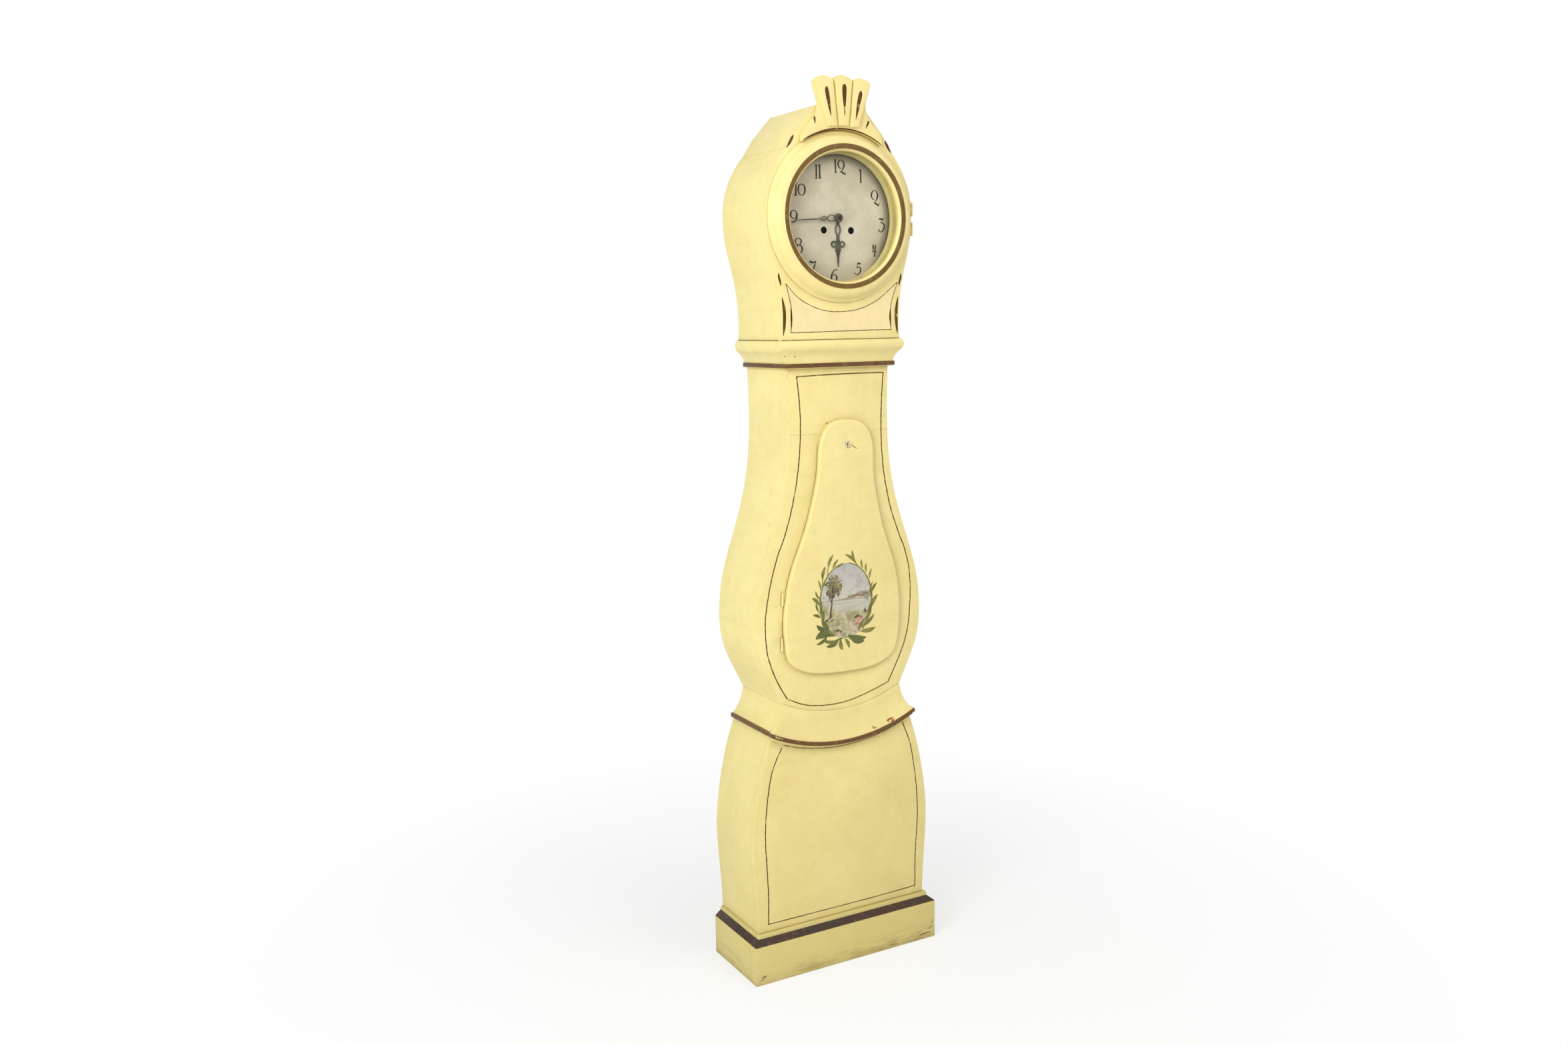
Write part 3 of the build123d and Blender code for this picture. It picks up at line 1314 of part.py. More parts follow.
for side, name in ((1, "time"), (-1, "strike")):
    with BuildPart() as driven:
        driving_weight(side * weight_x)
    save(driven, f"{name}_weight")
    with BuildPart() as driven:
        grooved_pulley(side * weight_x)
    save(driven, f"{name}_pulley")
    with BuildPart() as driven:
        driving_line(side)
    save(driven, f"{name}_line")
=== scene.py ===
# %% [markdown]
# # A painted long case clock
# The frame that this scene loads holds every working piece of a tall Swedish clock: boards, mouldings,
# doors, movement, pendulum and weights. The scene gives each piece its finish, softens the edges of the
# painted boards and adds what a painter added by hand: thin lines, drops, numerals, a leafy wreath and a
# small oval picture. Lengths are in metres, +Z is up and the clock faces -Y.

import json
from math import atan2, cos, degrees, pi, radians, sin, sqrt, tanh
from random import Random

import bmesh
import bpy
from mathutils import Matrix, Vector
from mathutils.bvhtree import BVHTree


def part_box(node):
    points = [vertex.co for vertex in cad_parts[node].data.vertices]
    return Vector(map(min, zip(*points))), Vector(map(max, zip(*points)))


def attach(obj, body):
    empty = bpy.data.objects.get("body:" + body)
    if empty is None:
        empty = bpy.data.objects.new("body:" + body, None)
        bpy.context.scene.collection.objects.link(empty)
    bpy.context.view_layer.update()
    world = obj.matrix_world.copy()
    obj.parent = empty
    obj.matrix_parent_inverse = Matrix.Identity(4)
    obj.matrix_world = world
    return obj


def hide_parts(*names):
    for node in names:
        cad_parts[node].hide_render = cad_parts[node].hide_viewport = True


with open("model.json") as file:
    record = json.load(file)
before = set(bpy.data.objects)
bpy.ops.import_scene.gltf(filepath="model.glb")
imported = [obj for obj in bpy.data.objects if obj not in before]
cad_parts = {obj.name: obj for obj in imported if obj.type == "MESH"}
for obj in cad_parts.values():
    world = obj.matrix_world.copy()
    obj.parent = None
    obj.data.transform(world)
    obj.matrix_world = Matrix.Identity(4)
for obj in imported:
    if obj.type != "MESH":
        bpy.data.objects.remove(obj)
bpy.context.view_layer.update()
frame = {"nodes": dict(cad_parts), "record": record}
nodes = frame["nodes"]

# %% [markdown]
# A few sizes come back again and again. They are the same ones that the frame was built from, so what is
# painted lands on the board that carries it.

# %% Sizes shared with the frame
BACK_Y = 0.105
BASE_FACE = BACK_Y - 0.187
DOOR_FACE = BACK_Y - 0.199
HOOD_FACE = BACK_Y - 0.204
CROWN_FACE = BACK_Y - 0.216
DIAL_FACE = BACK_Y - 0.190
PLINTH_FACE = BACK_Y - 0.210
DIAL_Z = 1.748
SMILE_Z = 0.990
PLINTH_BEVEL = (0.0935, 0.1065)
SMILE_BAND = (0.4405, 0.4502)
SIDE_MOULDING_BAND = (0.5852, 0.5957)
COLLAR_BAND = (1.4195, 1.4293)
HOOD_SEAM_SHADOW = (1.4795, 1.4818)
DOOR_RING = (0.1455, 0.1565)
DOOR_RING_FACE = (BACK_Y - 0.2255, BACK_Y - 0.2262)
PLATE_FACE = (BACK_Y - 0.1665, BACK_Y - 0.1670)
WINDING_DIRT = (0.0083, 0.0076)
PAINT_LIFT = 0.00012
PAINT_RELIEF = 0.0003

# %% [markdown]
# ## Nodes in few words
# A material is a small graph. A few helpers keep the graphs readable: they add a node and plug its inputs,
# do arithmetic, turn a range of values into another and mix colours. All of them add to the graph that was
# chosen last.

# %% Helpers for shader graphs


graph = None


def work_on(tree):
    """Choose the graph that the helpers add to."""
    global graph
    graph = tree
    return tree


def add_node(kind, inputs=None, **settings):
    """Add a node; inputs that are sockets are linked, and plain values are set."""
    made = graph.nodes.new(kind)
    for name, value in settings.items():
        setattr(made, name, value)
    for key, value in (inputs or {}).items():
        if isinstance(value, bpy.types.NodeSocket):
            graph.links.new(value, made.inputs[key])
        else:
            made.inputs[key].default_value = value
    return made


def maths(operation, first, second=0.0, clamp=False):
    """One step of arithmetic on two values."""
    made = add_node("ShaderNodeMath", {0: first, 1: second}, operation=operation, use_clamp=clamp)
    return made.outputs[0]


def times(first, second):
    """Product of two values."""
    return maths("MULTIPLY", first, second)


def plus(first, second):
    """Sum of two values."""
    return maths("ADD", first, second)


def minus(first, second):
    """Difference of two values."""
    return maths("SUBTRACT", first, second)


def remap(value, low, high, to_low=0.0, to_high=1.0):
    """Map low..high onto to_low..to_high and clamp outside."""
    keys = {"Value": value, "From Min": low, "From Max": high, "To Min": to_low, "To Max": to_high}
    return add_node("ShaderNodeMapRange", keys, clamp=True).outputs["Result"]


def vector_maths(operation, first, second=(0, 0, 0)):
    """One step of arithmetic on two places; lengths, distances and dot products are single values."""
    outputs = add_node("ShaderNodeVectorMath", {0: first, 1: second}, operation=operation).outputs
    return outputs["Value" if operation in ("LENGTH", "DISTANCE", "DOT_PRODUCT") else "Vector"]


def axis(place, name):
    """One coordinate of a place: X, Y or Z."""
    return add_node("ShaderNodeSeparateXYZ", {0: place}).outputs[name]


DARKEST_CURVED = 10
LINEAR_FOOT = 3294


def colour(display):
    """Linear RGBA from display values of 0 to 255."""
    linear = [
        ((c / 255 + 0.055) / 1.055) ** 2.4 if c > DARKEST_CURVED else c / LINEAR_FOOT for c in display]
    return (*linear, 1.0)


def blend(factor, first, second):
    """Mix two colours; three numbers are display values, and four are linear."""
    made = graph.nodes.new("ShaderNodeMix")
    made.data_type = "RGBA"
    for key, value in (("Factor_Float", factor), ("A_Color", first), ("B_Color", second)):
        socket = next(s for s in made.inputs if s.identifier == key)
        if isinstance(value, bpy.types.NodeSocket):
            graph.links.new(value, socket)
        elif isinstance(value, tuple) and len(value) == 3:
            socket.default_value = colour(value)
        else:
            socket.default_value = value
    return next(s for s in made.outputs if s.identifier == "Result_Color")


def noise(vector, scale, detail=3.0, rough=0.55, distortion=0.0):
    """Noise value at a point."""
    keys = {
        "Vector": vector, "Scale": scale, "Detail": detail, "Roughness": rough, "Distortion": distortion}
    return add_node("ShaderNodeTexNoise", keys).outputs["Fac"]


# %% [markdown]
# ## Effects that many finishes share
# Brush strokes, crackle, rubbed edges, painted shade with grime in the corners and stray specks appear on
# every painted board. Each is a node group: built once, then placed in a material with its own strength.

# %% Start a group with named sockets


def new_group(name, ins, outs):
    """Empty node group with its input and output sockets; returns the tree and the input node."""
    tree = work_on(bpy.data.node_groups.new(name, "ShaderNodeTree"))
    for label, kind, value in ins:
        socket = tree.interface.new_socket(name=label, in_out="INPUT", socket_type=kind)
        if value is not None:
            socket.default_value = value
    for label, kind in outs:
        tree.interface.new_socket(name=label, in_out="OUTPUT", socket_type=kind)
    return tree, graph.nodes.new("NodeGroupInput")


def close_group(**outs):
    """Wire the results to the group's output."""
    end = graph.nodes.new("NodeGroupOutput")
    for label, socket in outs.items():
        graph.links.new(socket, end.inputs[label])


FLOAT, VECTOR = "NodeSocketFloat", "NodeSocketVector"

# %% Brush strokes
brush_tree, start = new_group(
    "Brush strokes", [("Vector", VECTOR, None), ("Stretch", VECTOR, (60, 60, 4))],
    [("Tone", FLOAT), ("Height", FLOAT)])
along_stroke = vector_maths("MULTIPLY", start.outputs["Vector"], start.outputs["Stretch"])
streaks = noise(along_stroke, 1.6, 4.0, 0.6, 0.4)
clouds = noise(start.outputs["Vector"], 6.0, 6.0, 0.62)
tone = plus(times(streaks, 0.16), times(clouds, 0.84))
close_group(Tone=tone, Height=streaks)

# %% Crackle in old paint
crackle_tree, start = new_group(
    "Paint crackle", [("Vector", VECTOR, None), ("Scale", FLOAT, 60.0), ("Cover", FLOAT, 0.5)],
    [("Cracks", FLOAT)])
bent = add_node("ShaderNodeTexNoise", {"Vector": start.outputs["Vector"], "Scale": 30.0, "Detail": 2.0})
bend = vector_maths("MULTIPLY", bent.outputs["Color"], (0.006, 0.006, 0.006))
place = vector_maths("ADD", start.outputs["Vector"], bend)
cells = add_node(
    "ShaderNodeTexVoronoi", {"Vector": place, "Scale": start.outputs["Scale"]},
    feature="DISTANCE_TO_EDGE").outputs["Distance"]
lines = remap(cells, 0.0, 0.035, 1.0, 0.0)
patches = noise(start.outputs["Vector"], 7.0, 3.0)
edge = minus(1.0, start.outputs["Cover"])
shown = remap(patches, edge, plus(edge, 0.15))
close_group(Cracks=times(lines, shown))

# %% Rubbed edges
wear_tree, start = new_group(
    "Rubbed edges", [("Vector", VECTOR, None), ("Reach", FLOAT, 0.003), ("Amount", FLOAT, 0.5)],
    [("Wear", FLOAT)])
rounded = add_node("ShaderNodeBevel", {"Radius": start.outputs["Reach"]}, samples=4).outputs[0]
facing = add_node("ShaderNodeNewGeometry").outputs["True Normal"]
turn = vector_maths("DOT_PRODUCT", rounded, facing)
near_edge = remap(turn, 0.99, 0.86)
patches = noise(start.outputs["Vector"], 38.0, 5.0, 0.65)
limit = minus(0.78, times(start.outputs["Amount"], 0.4))
broken = remap(patches, limit, plus(limit, 0.05))
close_group(Wear=times(near_edge, broken))

# %% Painted shade and grime in corners
shade_and_grime_tree, start = new_group(
    "Corner shade and grime", [("Vector", VECTOR, None), ("Reach", FLOAT, 0.03)], [("Grime", FLOAT)])
# Ambient occlusion darkens corners and recesses: painted shade, broken by noise patches that stand for
# grime.
open_sky = add_node("ShaderNodeAmbientOcclusion", {"Distance": start.outputs["Reach"]}, samples=4)
closed = remap(open_sky.outputs["AO"], 0.95, 0.35)
patches = remap(noise(start.outputs["Vector"], 25.0, 4.0), 0.3, 0.7, 0.45, 1.0)
close_group(Grime=times(closed, patches))

# %% Specks and small knocks
speck_tree, start = new_group(
    "Specks", [("Vector", VECTOR, None), ("Scale", FLOAT, 22.0), ("Size", FLOAT, 0.08)],
    [("Specks", FLOAT)])
dots = add_node(
    "ShaderNodeTexVoronoi", {"Vector": start.outputs["Vector"], "Scale": start.outputs["Scale"]})
pick = add_node("ShaderNodeSeparateColor", {"Color": dots.outputs["Color"]})
near = maths("LESS_THAN", dots.outputs["Distance"], times(start.outputs["Size"], pick.outputs["Green"]))
rare = maths("GREATER_THAN", pick.outputs["Red"], 0.93)
close_group(Specks=times(near, rare))
print("shared effects:", [g.name for g in bpy.data.node_groups])

# %% [markdown]
# ## Old cream paint
# The case is pine under several coats of oil paint that has turned yellow. The colour is cream, a little
# deeper where the brush left more paint, darker towards the floor as painted shade, scuffed just above it,
# rubbed through to brown along the edges. A painted band or ring is one more colour behind a mask, so each
# board keeps one material.

# %% Make a painted finish


def group_node(group, **inputs):
    """Place a shared effect in a material."""
    return add_node("ShaderNodeGroup", inputs, node_tree=group)


def start_material(name):
    """New material with an empty Principled shader and the place on the object."""
    material = bpy.data.materials.new(name)
    material.use_nodes = True
    work_on(material.node_tree)
    shader = graph.nodes["Principled BSDF"]
    place = add_node("ShaderNodeTexCoord").outputs["Object"]
    return material, shader, place


def set_surface(shader, tone, rough):
    """Plug in a colour and a roughness."""
    graph.links.new(tone, shader.inputs["Base Color"])
    graph.links.new(rough, shader.inputs["Roughness"])


def set_bump(shader, height, strength, distance):
    """Small relief in the shading; distance in metres."""
    bump = add_node("ShaderNodeBump", {"Height": height, "Strength": strength, "Distance": distance})
    graph.links.new(bump.outputs[0], shader.inputs["Normal"])


CREAM = (242, 224, 155)
CREAM_DEEP = (227, 204, 130)
CREAM_GREEN = (218, 208, 128)
CREAM_ROSE = (236, 208, 144)
# Cream in painted shade, low on the case.
CREAM_LOW_SHADE = (207, 188, 117)
UNDERCOAT = (150, 112, 62)
BROWN = (84, 50, 20)
BROWN_LIGHT = (112, 76, 34)
# Dirt colour, also used for the painted shade in corners and recesses.
DIRT_AND_SHADE = (120, 100, 58)
ACROSS, BACK, UP = (4, 60, 60), (60, 4, 60), (60, 60, 4)


def cream_paint(
        name, stretch=UP, band=None, tones=(BROWN, BROWN_LIGHT), wear=0.5, tint=CREAM, low_shade_and_scuffs=True,
        corners=0.45):
    """Cream paint; stretch runs the brush one way, and band returns the mask of a band in two tones."""
    material, shader, place = start_material(name)
    strokes = group_node(brush_tree, Vector=place, Stretch=stretch)
    depth = remap(strokes.outputs["Tone"], 0.35, 0.65)
    paint = blend(times(depth, 0.45), tint, CREAM_DEEP)
    greener = remap(noise(place, 32.0, 5.0, 0.62), 0.46, 0.64)
    paint = blend(times(greener, 0.30), paint, CREAM_GREEN)
    rosier = remap(noise(vector_maths("ADD", place, (0.4, 0.4, 0.4)), 26.0, 5.0, 0.62), 0.48, 0.66)
    paint = blend(times(rosier, 0.28), paint, CREAM_ROSE)
    if low_shade_and_scuffs:
        # Painted shade: the paint darkens towards the floor, where less light falls. Real scuffs lie just
        # above the floor.
        height = axis(place, "Z")
        low = remap(height, 0.75, 0.0, 0.0, 0.75)
        paint = blend(times(low, remap(strokes.outputs["Tone"], 0.3, 0.7, 0.6, 1.0)), paint, CREAM_LOW_SHADE)
        level_place = vector_maths("MULTIPLY", place, (0.35, 0.35, 2.0))
        scuffed = times(remap(height, 0.05, 0.0), remap(noise(level_place, 40.0, 6.0, 0.7), 0.46, 0.66))
        paint = blend(times(scuffed, 0.6), paint, DIRT_AND_SHADE)
    marks_and_shade = (0.35, corners, 0.45)
    if band is not None:
        mask = band(place)
        marks_and_shade = [times(remap(mask, 0.0, 1.0, 1.0, 0.15), share) for share in marks_and_shade]
        brown = blend(depth, *tones)
        thin = remap(noise(place, 90.0, 4.0), 0.3, 0.42)
        paint = blend(times(mask, maths("MAXIMUM", thin, 0.94)), paint, brown)
    cracks = group_node(crackle_tree, Vector=place, Scale=55.0, Cover=0.35).outputs["Cracks"]
    paint = blend(times(cracks, marks_and_shade[0]), paint, DIRT_AND_SHADE)
    # Painted shade and grime: the paint darkens in corners and recesses where shade falls.
    shade_and_grime = group_node(shade_and_grime_tree, Vector=place, Reach=0.025).outputs["Grime"]
    paint = blend(times(shade_and_grime, marks_and_shade[1]), paint, DIRT_AND_SHADE)
    specks = group_node(speck_tree, Vector=place, Scale=26.0, Size=0.05).outputs["Specks"]
    paint = blend(times(specks, marks_and_shade[2]), paint, DIRT_AND_SHADE)
    rubbed = group_node(wear_tree, Vector=place, Reach=0.0025, Amount=wear).outputs["Wear"]
    paint = blend(times(rubbed, 0.75), paint, UNDERCOAT)
    set_surface(shader, paint, remap(strokes.outputs["Tone"], 0.3, 0.7, 0.42, 0.58))
    relief = minus(times(strokes.outputs["Height"], 0.35), plus(times(cracks, 0.5), times(rubbed, 0.6)))
    set_bump(shader, relief, 0.35, 0.0006)
    shader.inputs["Specular IOR Level"].default_value = 0.35
    return material


# %% [markdown]
# The brown bands sit at known places: a ring on the glazed door, an arc that sags across the middle
# moulding, a straight band on the collar and the bevel of the plinth.

# %% Masks of the brown bands


def between(value, low, high, soft=0.0003):
    """Mask that is 1 between two values."""
    return times(remap(value, low - soft, low + soft), remap(value, high + soft, high - soft))


def ring_radius(place, height):
    """Distance from a front-to-back axis at x = 0 and a height."""
    up = minus(axis(place, "Z"), height)
    squares = [maths("POWER", side, 2.0) for side in (axis(place, "X"), up)]
    return maths("SQRT", plus(*squares))


def level_band(low, high):
    """Band between two heights."""
    return lambda place: between(axis(place, "Z"), low, high)


def arc_band(centre, low, high):
    """Band between two radii about a point on the clock's middle line."""
    return lambda place: between(ring_radius(place, centre), low, high)


def door_ring(place):
    """Ring on the front of the glazed door."""
    depth = axis(place, "Y")
    front = remap(depth, *DOOR_RING_FACE)
    return times(front, between(ring_radius(place, DIAL_Z), *DOOR_RING))


upright = cream_paint("Cream paint upright")
finishes = {
    "plinth": cream_paint(
        "Cream paint plinth", stretch=ACROSS, band=level_band(*PLINTH_BEVEL),
        tones=((44, 28, 14), (66, 42, 22)), wear=0.18, tint=(210, 193, 126)),
    "smile": cream_paint(
        "Cream paint middle moulding", stretch=ACROSS, band=arc_band(SMILE_Z, *SMILE_BAND), wear=0.4),
    "smile_side": cream_paint(
        "Cream paint side moulding", stretch=BACK, band=level_band(*SIDE_MOULDING_BAND), wear=0.4),
    "collar": cream_paint("Cream paint collar", stretch=ACROSS, band=level_band(*COLLAR_BAND), wear=0.4),
    "bezel": cream_paint(
        "Cream paint glazed door", stretch=(20, 20, 20), band=door_ring,
        tones=((98, 70, 20), (116, 84, 28)), wear=0.0, low_shade_and_scuffs=False),
    # The dark band at the foot of the hood side is painted shadow in the seam above the collar.
    "hood_side": cream_paint(
        "Cream paint hood side", band=level_band(*HOOD_SEAM_SHADOW), tones=((60, 50, 32), (90, 78, 50)),
        low_shade_and_scuffs=False),
    "crown": cream_paint("Cream paint crown", wear=0.3, low_shade_and_scuffs=False, corners=0.08),
    "hinge": cream_paint(
        "Cream paint on iron", stretch=(40, 40, 40), wear=0.0, low_shade_and_scuffs=False, corners=0.05),}
print("painted finishes:", len(finishes) + 1)

# %% [markdown]
# ## Bare pine, brass, iron, glass and gut
# What stands inside the case was never painted: boards went grey-brown with age, wheels and plates
# tarnished, iron took on a thin brown bloom. Each finish mixes two tones and keeps its roughness alive.

# %% Bare wood
def bare_wood(name, pale, dark):
    """Old unpainted pine with upright grain."""
    material, shader, place = start_material(name)
    long_grain = vector_maths("MULTIPLY", place, (1.0, 1.0, 0.08))
    rings = add_node(
        "ShaderNodeTexWave", {"Vector": long_grain, "Scale": 14.0, "Distortion": 9.0, "Detail": 3.0},
        bands_direction="X").outputs["Fac"]
    fibre = noise(long_grain, 160.0, 3.0, 0.6)
    grain = plus(times(rings, 0.55), times(fibre, 0.45))
    wood = blend(grain, pale, dark)
    # Painted shade and grime darken the bare wood in corners and recesses.
    shade_and_grime = group_node(shade_and_grime_tree, Vector=place, Reach=0.05).outputs["Grime"]
    set_surface(shader, blend(times(shade_and_grime, 0.5), wood, DIRT_AND_SHADE), remap(grain, 0.2, 0.8, 0.62, 0.8))
    set_bump(shader, grain, 0.3, 0.0006)
    return material


finishes["pine"] = bare_wood("Bare pine", (186, 150, 104), (136, 98, 60))


# %% Metals
def old_metal(name, bright, dull, bloom, metallic, rough, cover=0.5, scale=60.0, shaded_front=False):
    """Metal, partly tarnished; with the front flag set, what stands before the plates turns near black as
    painted shade.
    """
    material, shader, place = start_material(name)
    patches = noise(place, scale, 5.0, 0.6)
    fine = noise(place, scale * 9, 3.0)
    aged = remap(patches, 0.62 - cover * 0.4, 0.78 - cover * 0.4)
    tone = blend(aged, bright, dull)
    spots = remap(noise(place, scale * 2.5, 4.0, 0.7), 0.62, 0.72)
    tone = blend(times(spots, 0.7), tone, bloom)
    rough_value = remap(plus(aged, fine), 0.4, 1.5, rough, min(rough + 0.25, 0.95))
    if shaded_front:
        # Painted shade: arbor squares before the plates turn near black, so the winding holes look dark.
        depth = axis(place, "Y")
        ahead = remap(depth, *PLATE_FACE)
        tone = blend(ahead, tone, (40, 37, 33))
        rough_value = maths("MAXIMUM", rough_value, times(ahead, 0.8))
    set_surface(shader, tone, rough_value)
    shader.inputs["Metallic"].default_value = metallic
    set_bump(shader, fine, 0.15, 0.0002)
    return material


METALS = {
    "brass": ("Tarnished brass", (205, 168, 96), (150, 112, 58), (92, 68, 40), 1.0, 0.28),
    "barrel": ("Brass barrel", (205, 168, 96), (150, 112, 58), (92, 68, 40), 0.8, 0.3, 0.5, 60.0, True),
    "iron": ("Wrought iron", (120, 116, 110), (72, 68, 64), (96, 62, 42), 0.85, 0.42),
    "weight": ("Cast iron weight", (70, 68, 66), (46, 44, 43), (88, 58, 40), 0.5, 0.6),
    "hand": ("Hand steel", (96, 90, 78), (66, 61, 52), (82, 62, 44), 0.35, 0.5),
    # The front plate, seen only through the winding holes, is painted near black as shade.
    "dark_iron": ("Black iron plate in painted shade", (44, 42, 40), (30, 28, 26), (52, 38, 30), 0.3, 0.65),
    "keyhole": (
        "Worn keyhole brass", (232, 222, 196), (190, 168, 120), (120, 88, 52), 0.9, 0.3, 0.3, 200.0),}
for name, values in METALS.items():
    finishes[name] = old_metal(*values)

# %% Gut line
gut, shader, place = start_material("Gut line")
twist = add_node(
    "ShaderNodeTexWave", {"Vector": place, "Scale": 260.0, "Distortion": 1.0},
    bands_direction="DIAGONAL").outputs["Fac"]
set_surface(shader, blend(twist, (188, 158, 108), (140, 108, 66)), remap(twist, 0.0, 1.0, 0.45, 0.6))
finishes["gut"] = gut

# %% [markdown]
# The glass is a flat pane of old window glass. Nearly all light goes straight through it to the dial, and
# only a thin mirror image, stronger at a slant, lies on its front. A little dust makes the mirror dull in
# places.

# %% Glass
glass, shader, place = start_material("Old window glass")
ripple = noise(place, 9.0, 2.0)
set_bump(shader, ripple, 0.1, 0.001)
shader.inputs["Base Color"].default_value = (0.92, 0.94, 0.92, 1.0)
shader.inputs["Metallic"].default_value = 1.0
graph.links.new(remap(noise(place, 20.0, 3.0), 0.4, 0.7, 0.03, 0.10), shader.inputs["Roughness"])
clear = graph.nodes.new("ShaderNodeBsdfTransparent")
clear.inputs["Color"].default_value = (0.97, 0.975, 0.965, 1.0)
mirror = remap(add_node("ShaderNodeFresnel", {"IOR": 1.45}).outputs[0], 0.034, 1.0, 0.004, 0.9)
dusty = remap(noise(place, 30.0, 5.0), 0.45, 0.7, 0.0, 0.006)
on_front = minus(1.0, add_node("ShaderNodeNewGeometry").outputs["Backfacing"])
share = times(plus(mirror, dusty), on_front)
pane = add_node("ShaderNodeMixShader", {0: share, 1: clear.outputs[0], 2: shader.outputs[0]})
graph.links.new(pane.outputs[0], graph.nodes["Material Output"].inputs["Surface"])
finishes["glass"] = glass

# %% [markdown]
# The dial is thin sheet painted off-white. It has gone grey in cloudy patches, with fine scratches and a
# few rust specks where the paint has lifted. Painted shade darkens it round the rim, and a painted shadow
# lies along the upper right edge.

# %% Dial paint
dial_paint, shader, place = start_material("Dial paint")
clouds = noise(place, 14.0, 5.0, 0.6)
tone = blend(remap(clouds, 0.35, 0.65), (222, 210, 187), (200, 188, 165))
fine = noise(place, 220.0, 3.0)
tone = blend(times(remap(fine, 0.45, 0.7), 0.25), tone, (180, 168, 142))
# Painted shade: the dial darkens towards the rim of the opening.
radius = ring_radius(place, DIAL_Z)
rim = remap(radius, 0.100, 0.14, 0.0, 0.45)
tone = blend(rim, tone, (160, 150, 126))
# Painted shadow: a dark crescent along the upper right edge, where the door's edge shades the dial.
xyz = add_node("ShaderNodeSeparateXYZ", {0: place})
leaning = plus(xyz.outputs["X"], times(minus(xyz.outputs["Z"], DIAL_Z), 0.7))
painted_shadow_crescent = times(remap(radius, 0.118, 0.140), remap(leaning, -0.02, 0.07))
tone = blend(times(painted_shadow_crescent, 0.92), tone, (56, 53, 44))
rust = group_node(speck_tree, Vector=place, Scale=60.0, Size=0.1).outputs["Specks"]
tone = blend(times(rust, 0.6), tone, (110, 84, 60))
for barrel in ("time_barrel", "strike_barrel"):
    low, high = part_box(barrel)
    winding_hole = ((low[0] + high[0]) / 2, 0.0, (low[2] + high[2]) / 2)
    across_dial = vector_maths("MULTIPLY", place, (1.0, 0.0, 1.0))
    from_hole = vector_maths("DISTANCE", across_dial, winding_hole)
    tone = blend(remap(from_hole, *WINDING_DIRT), tone, (66, 66, 56))
set_surface(shader, tone, remap(clouds, 0.3, 0.7, 0.5, 0.65))
set_bump(shader, fine, 0.1, 0.0002)
finishes["dial"] = dial_paint
print("finishes in all:", len(bpy.data.materials))

# %% [markdown]
# ## Dress the frame's own pieces
# Pieces whose shape is already right keep the frame's mesh and only get a finish. The table names the
# record's slot beside each finish family, but only the finish is given.

# %% Give each frame piece its finish
DRESS = (
    ("brass", "brass", "time_great_wheel minute_wheel third_wheel escape_wheel strike_great_wheel"),
    ("brass", "brass",
     "pin_wheel hoop_wheel warning_wheel fly pendulum_bob time_pulley strike_pulley bell"),
    ("barrel", "brass", "time_barrel strike_barrel centre_wheel cannon_pinion hour_wheel"),
    ("iron", "iron", "lock_case lock_bolt back_plate suspension_cock pallet_anchor hammer pendulum_rod"),
    ("hinge", "iron", "door_hinges_fixed door_hinges_moving bezel_hinges_fixed bezel_hinges_moving"),
    ("dark_iron", "iron", "front_plate"),
    ("pine", "bare_wood", "base_floor back_board seat_board seat_cheeks"),
    ("weight", "cast_weight", "time_weight strike_weight"),
    ("hand", "blackened_steel", "hour_hand minute_hand"), ("gut", "gut_line", "time_line strike_line"),
    ("dial", "painted_dial", "dial"), ("glass", "glass", "bezel_glass"),
    ("keyhole", "brass", "keyhole_plate"))
for finish, slot, names in DRESS:
    for name in names.split():
        nodes[name].data.materials.clear()
        nodes[name].data.materials.append(finishes[finish])
print("frame pieces with a finish:", sum(len(names.split()) for finish, slot, names in DRESS))

# %% [markdown]
# ## Soften the painted boards
# Two centuries of hands and coats of paint leave no sharp corner. Each painted board is copied from the
# frame, its loose triangles are merged into clean faces, and the edges that show are bevelled. The copy
# then stands in for the frame's piece and moves with the same body.

# %% New objects and shading


def link_object(name, data):
    """Put a new object with this data in the scene."""
    made = bpy.data.objects.new(name, data)
    bpy.context.scene.collection.objects.link(made)
    return made


body_of_node = {
    name: body for body, members in frame["record"]["behaviour"]["bodies"].items() for name in members}


def smooth_by_angle(mesh, limit=35):
    """Smooth shading, with the edges sharper than an angle kept crisp."""
    mesh.polygons.foreach_set("use_smooth", [True] * len(mesh.polygons))
    mesh.set_sharp_from_angle(angle=radians(limit))


# %% Soften a board
SAME_PLACE = 1e-6
FLAT_WITHIN, SHARP_OVER = 0.6, 32


def soften(name, finish, width=0.0012, keep=None, segments=3):
    """Copy a frame piece, merge it and bevel its sharp edges; keep chooses edges by their middle point."""
    piece = bmesh.new()
    piece.from_mesh(nodes[name].data)
    bmesh.ops.remove_doubles(piece, verts=piece.verts, dist=SAME_PLACE)
    bmesh.ops.dissolve_limit(piece, angle_limit=radians(FLAT_WITHIN), verts=piece.verts, edges=piece.edges)
    sharp = [e for e in piece.edges if e.is_manifold and e.calc_face_angle(0.0) > radians(SHARP_OVER)]
    if keep is not None:
        sharp = [e for e in sharp if keep((e.verts[0].co + e.verts[1].co) / 2)]
    bmesh.ops.bevel(
        piece, geom=sharp, offset=width, affect="EDGES", segments=segments, profile=0.5, material=-1,
        clamp_overlap=True)
    mesh = bpy.data.meshes.new(name + "_painted")
    piece.to_mesh(mesh)
    piece.free()
    made = link_object(name + "_painted", mesh)
    mesh.materials.append(finish)
    smooth_by_angle(mesh)
    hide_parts(name)
    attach(made, body_of_node[name])


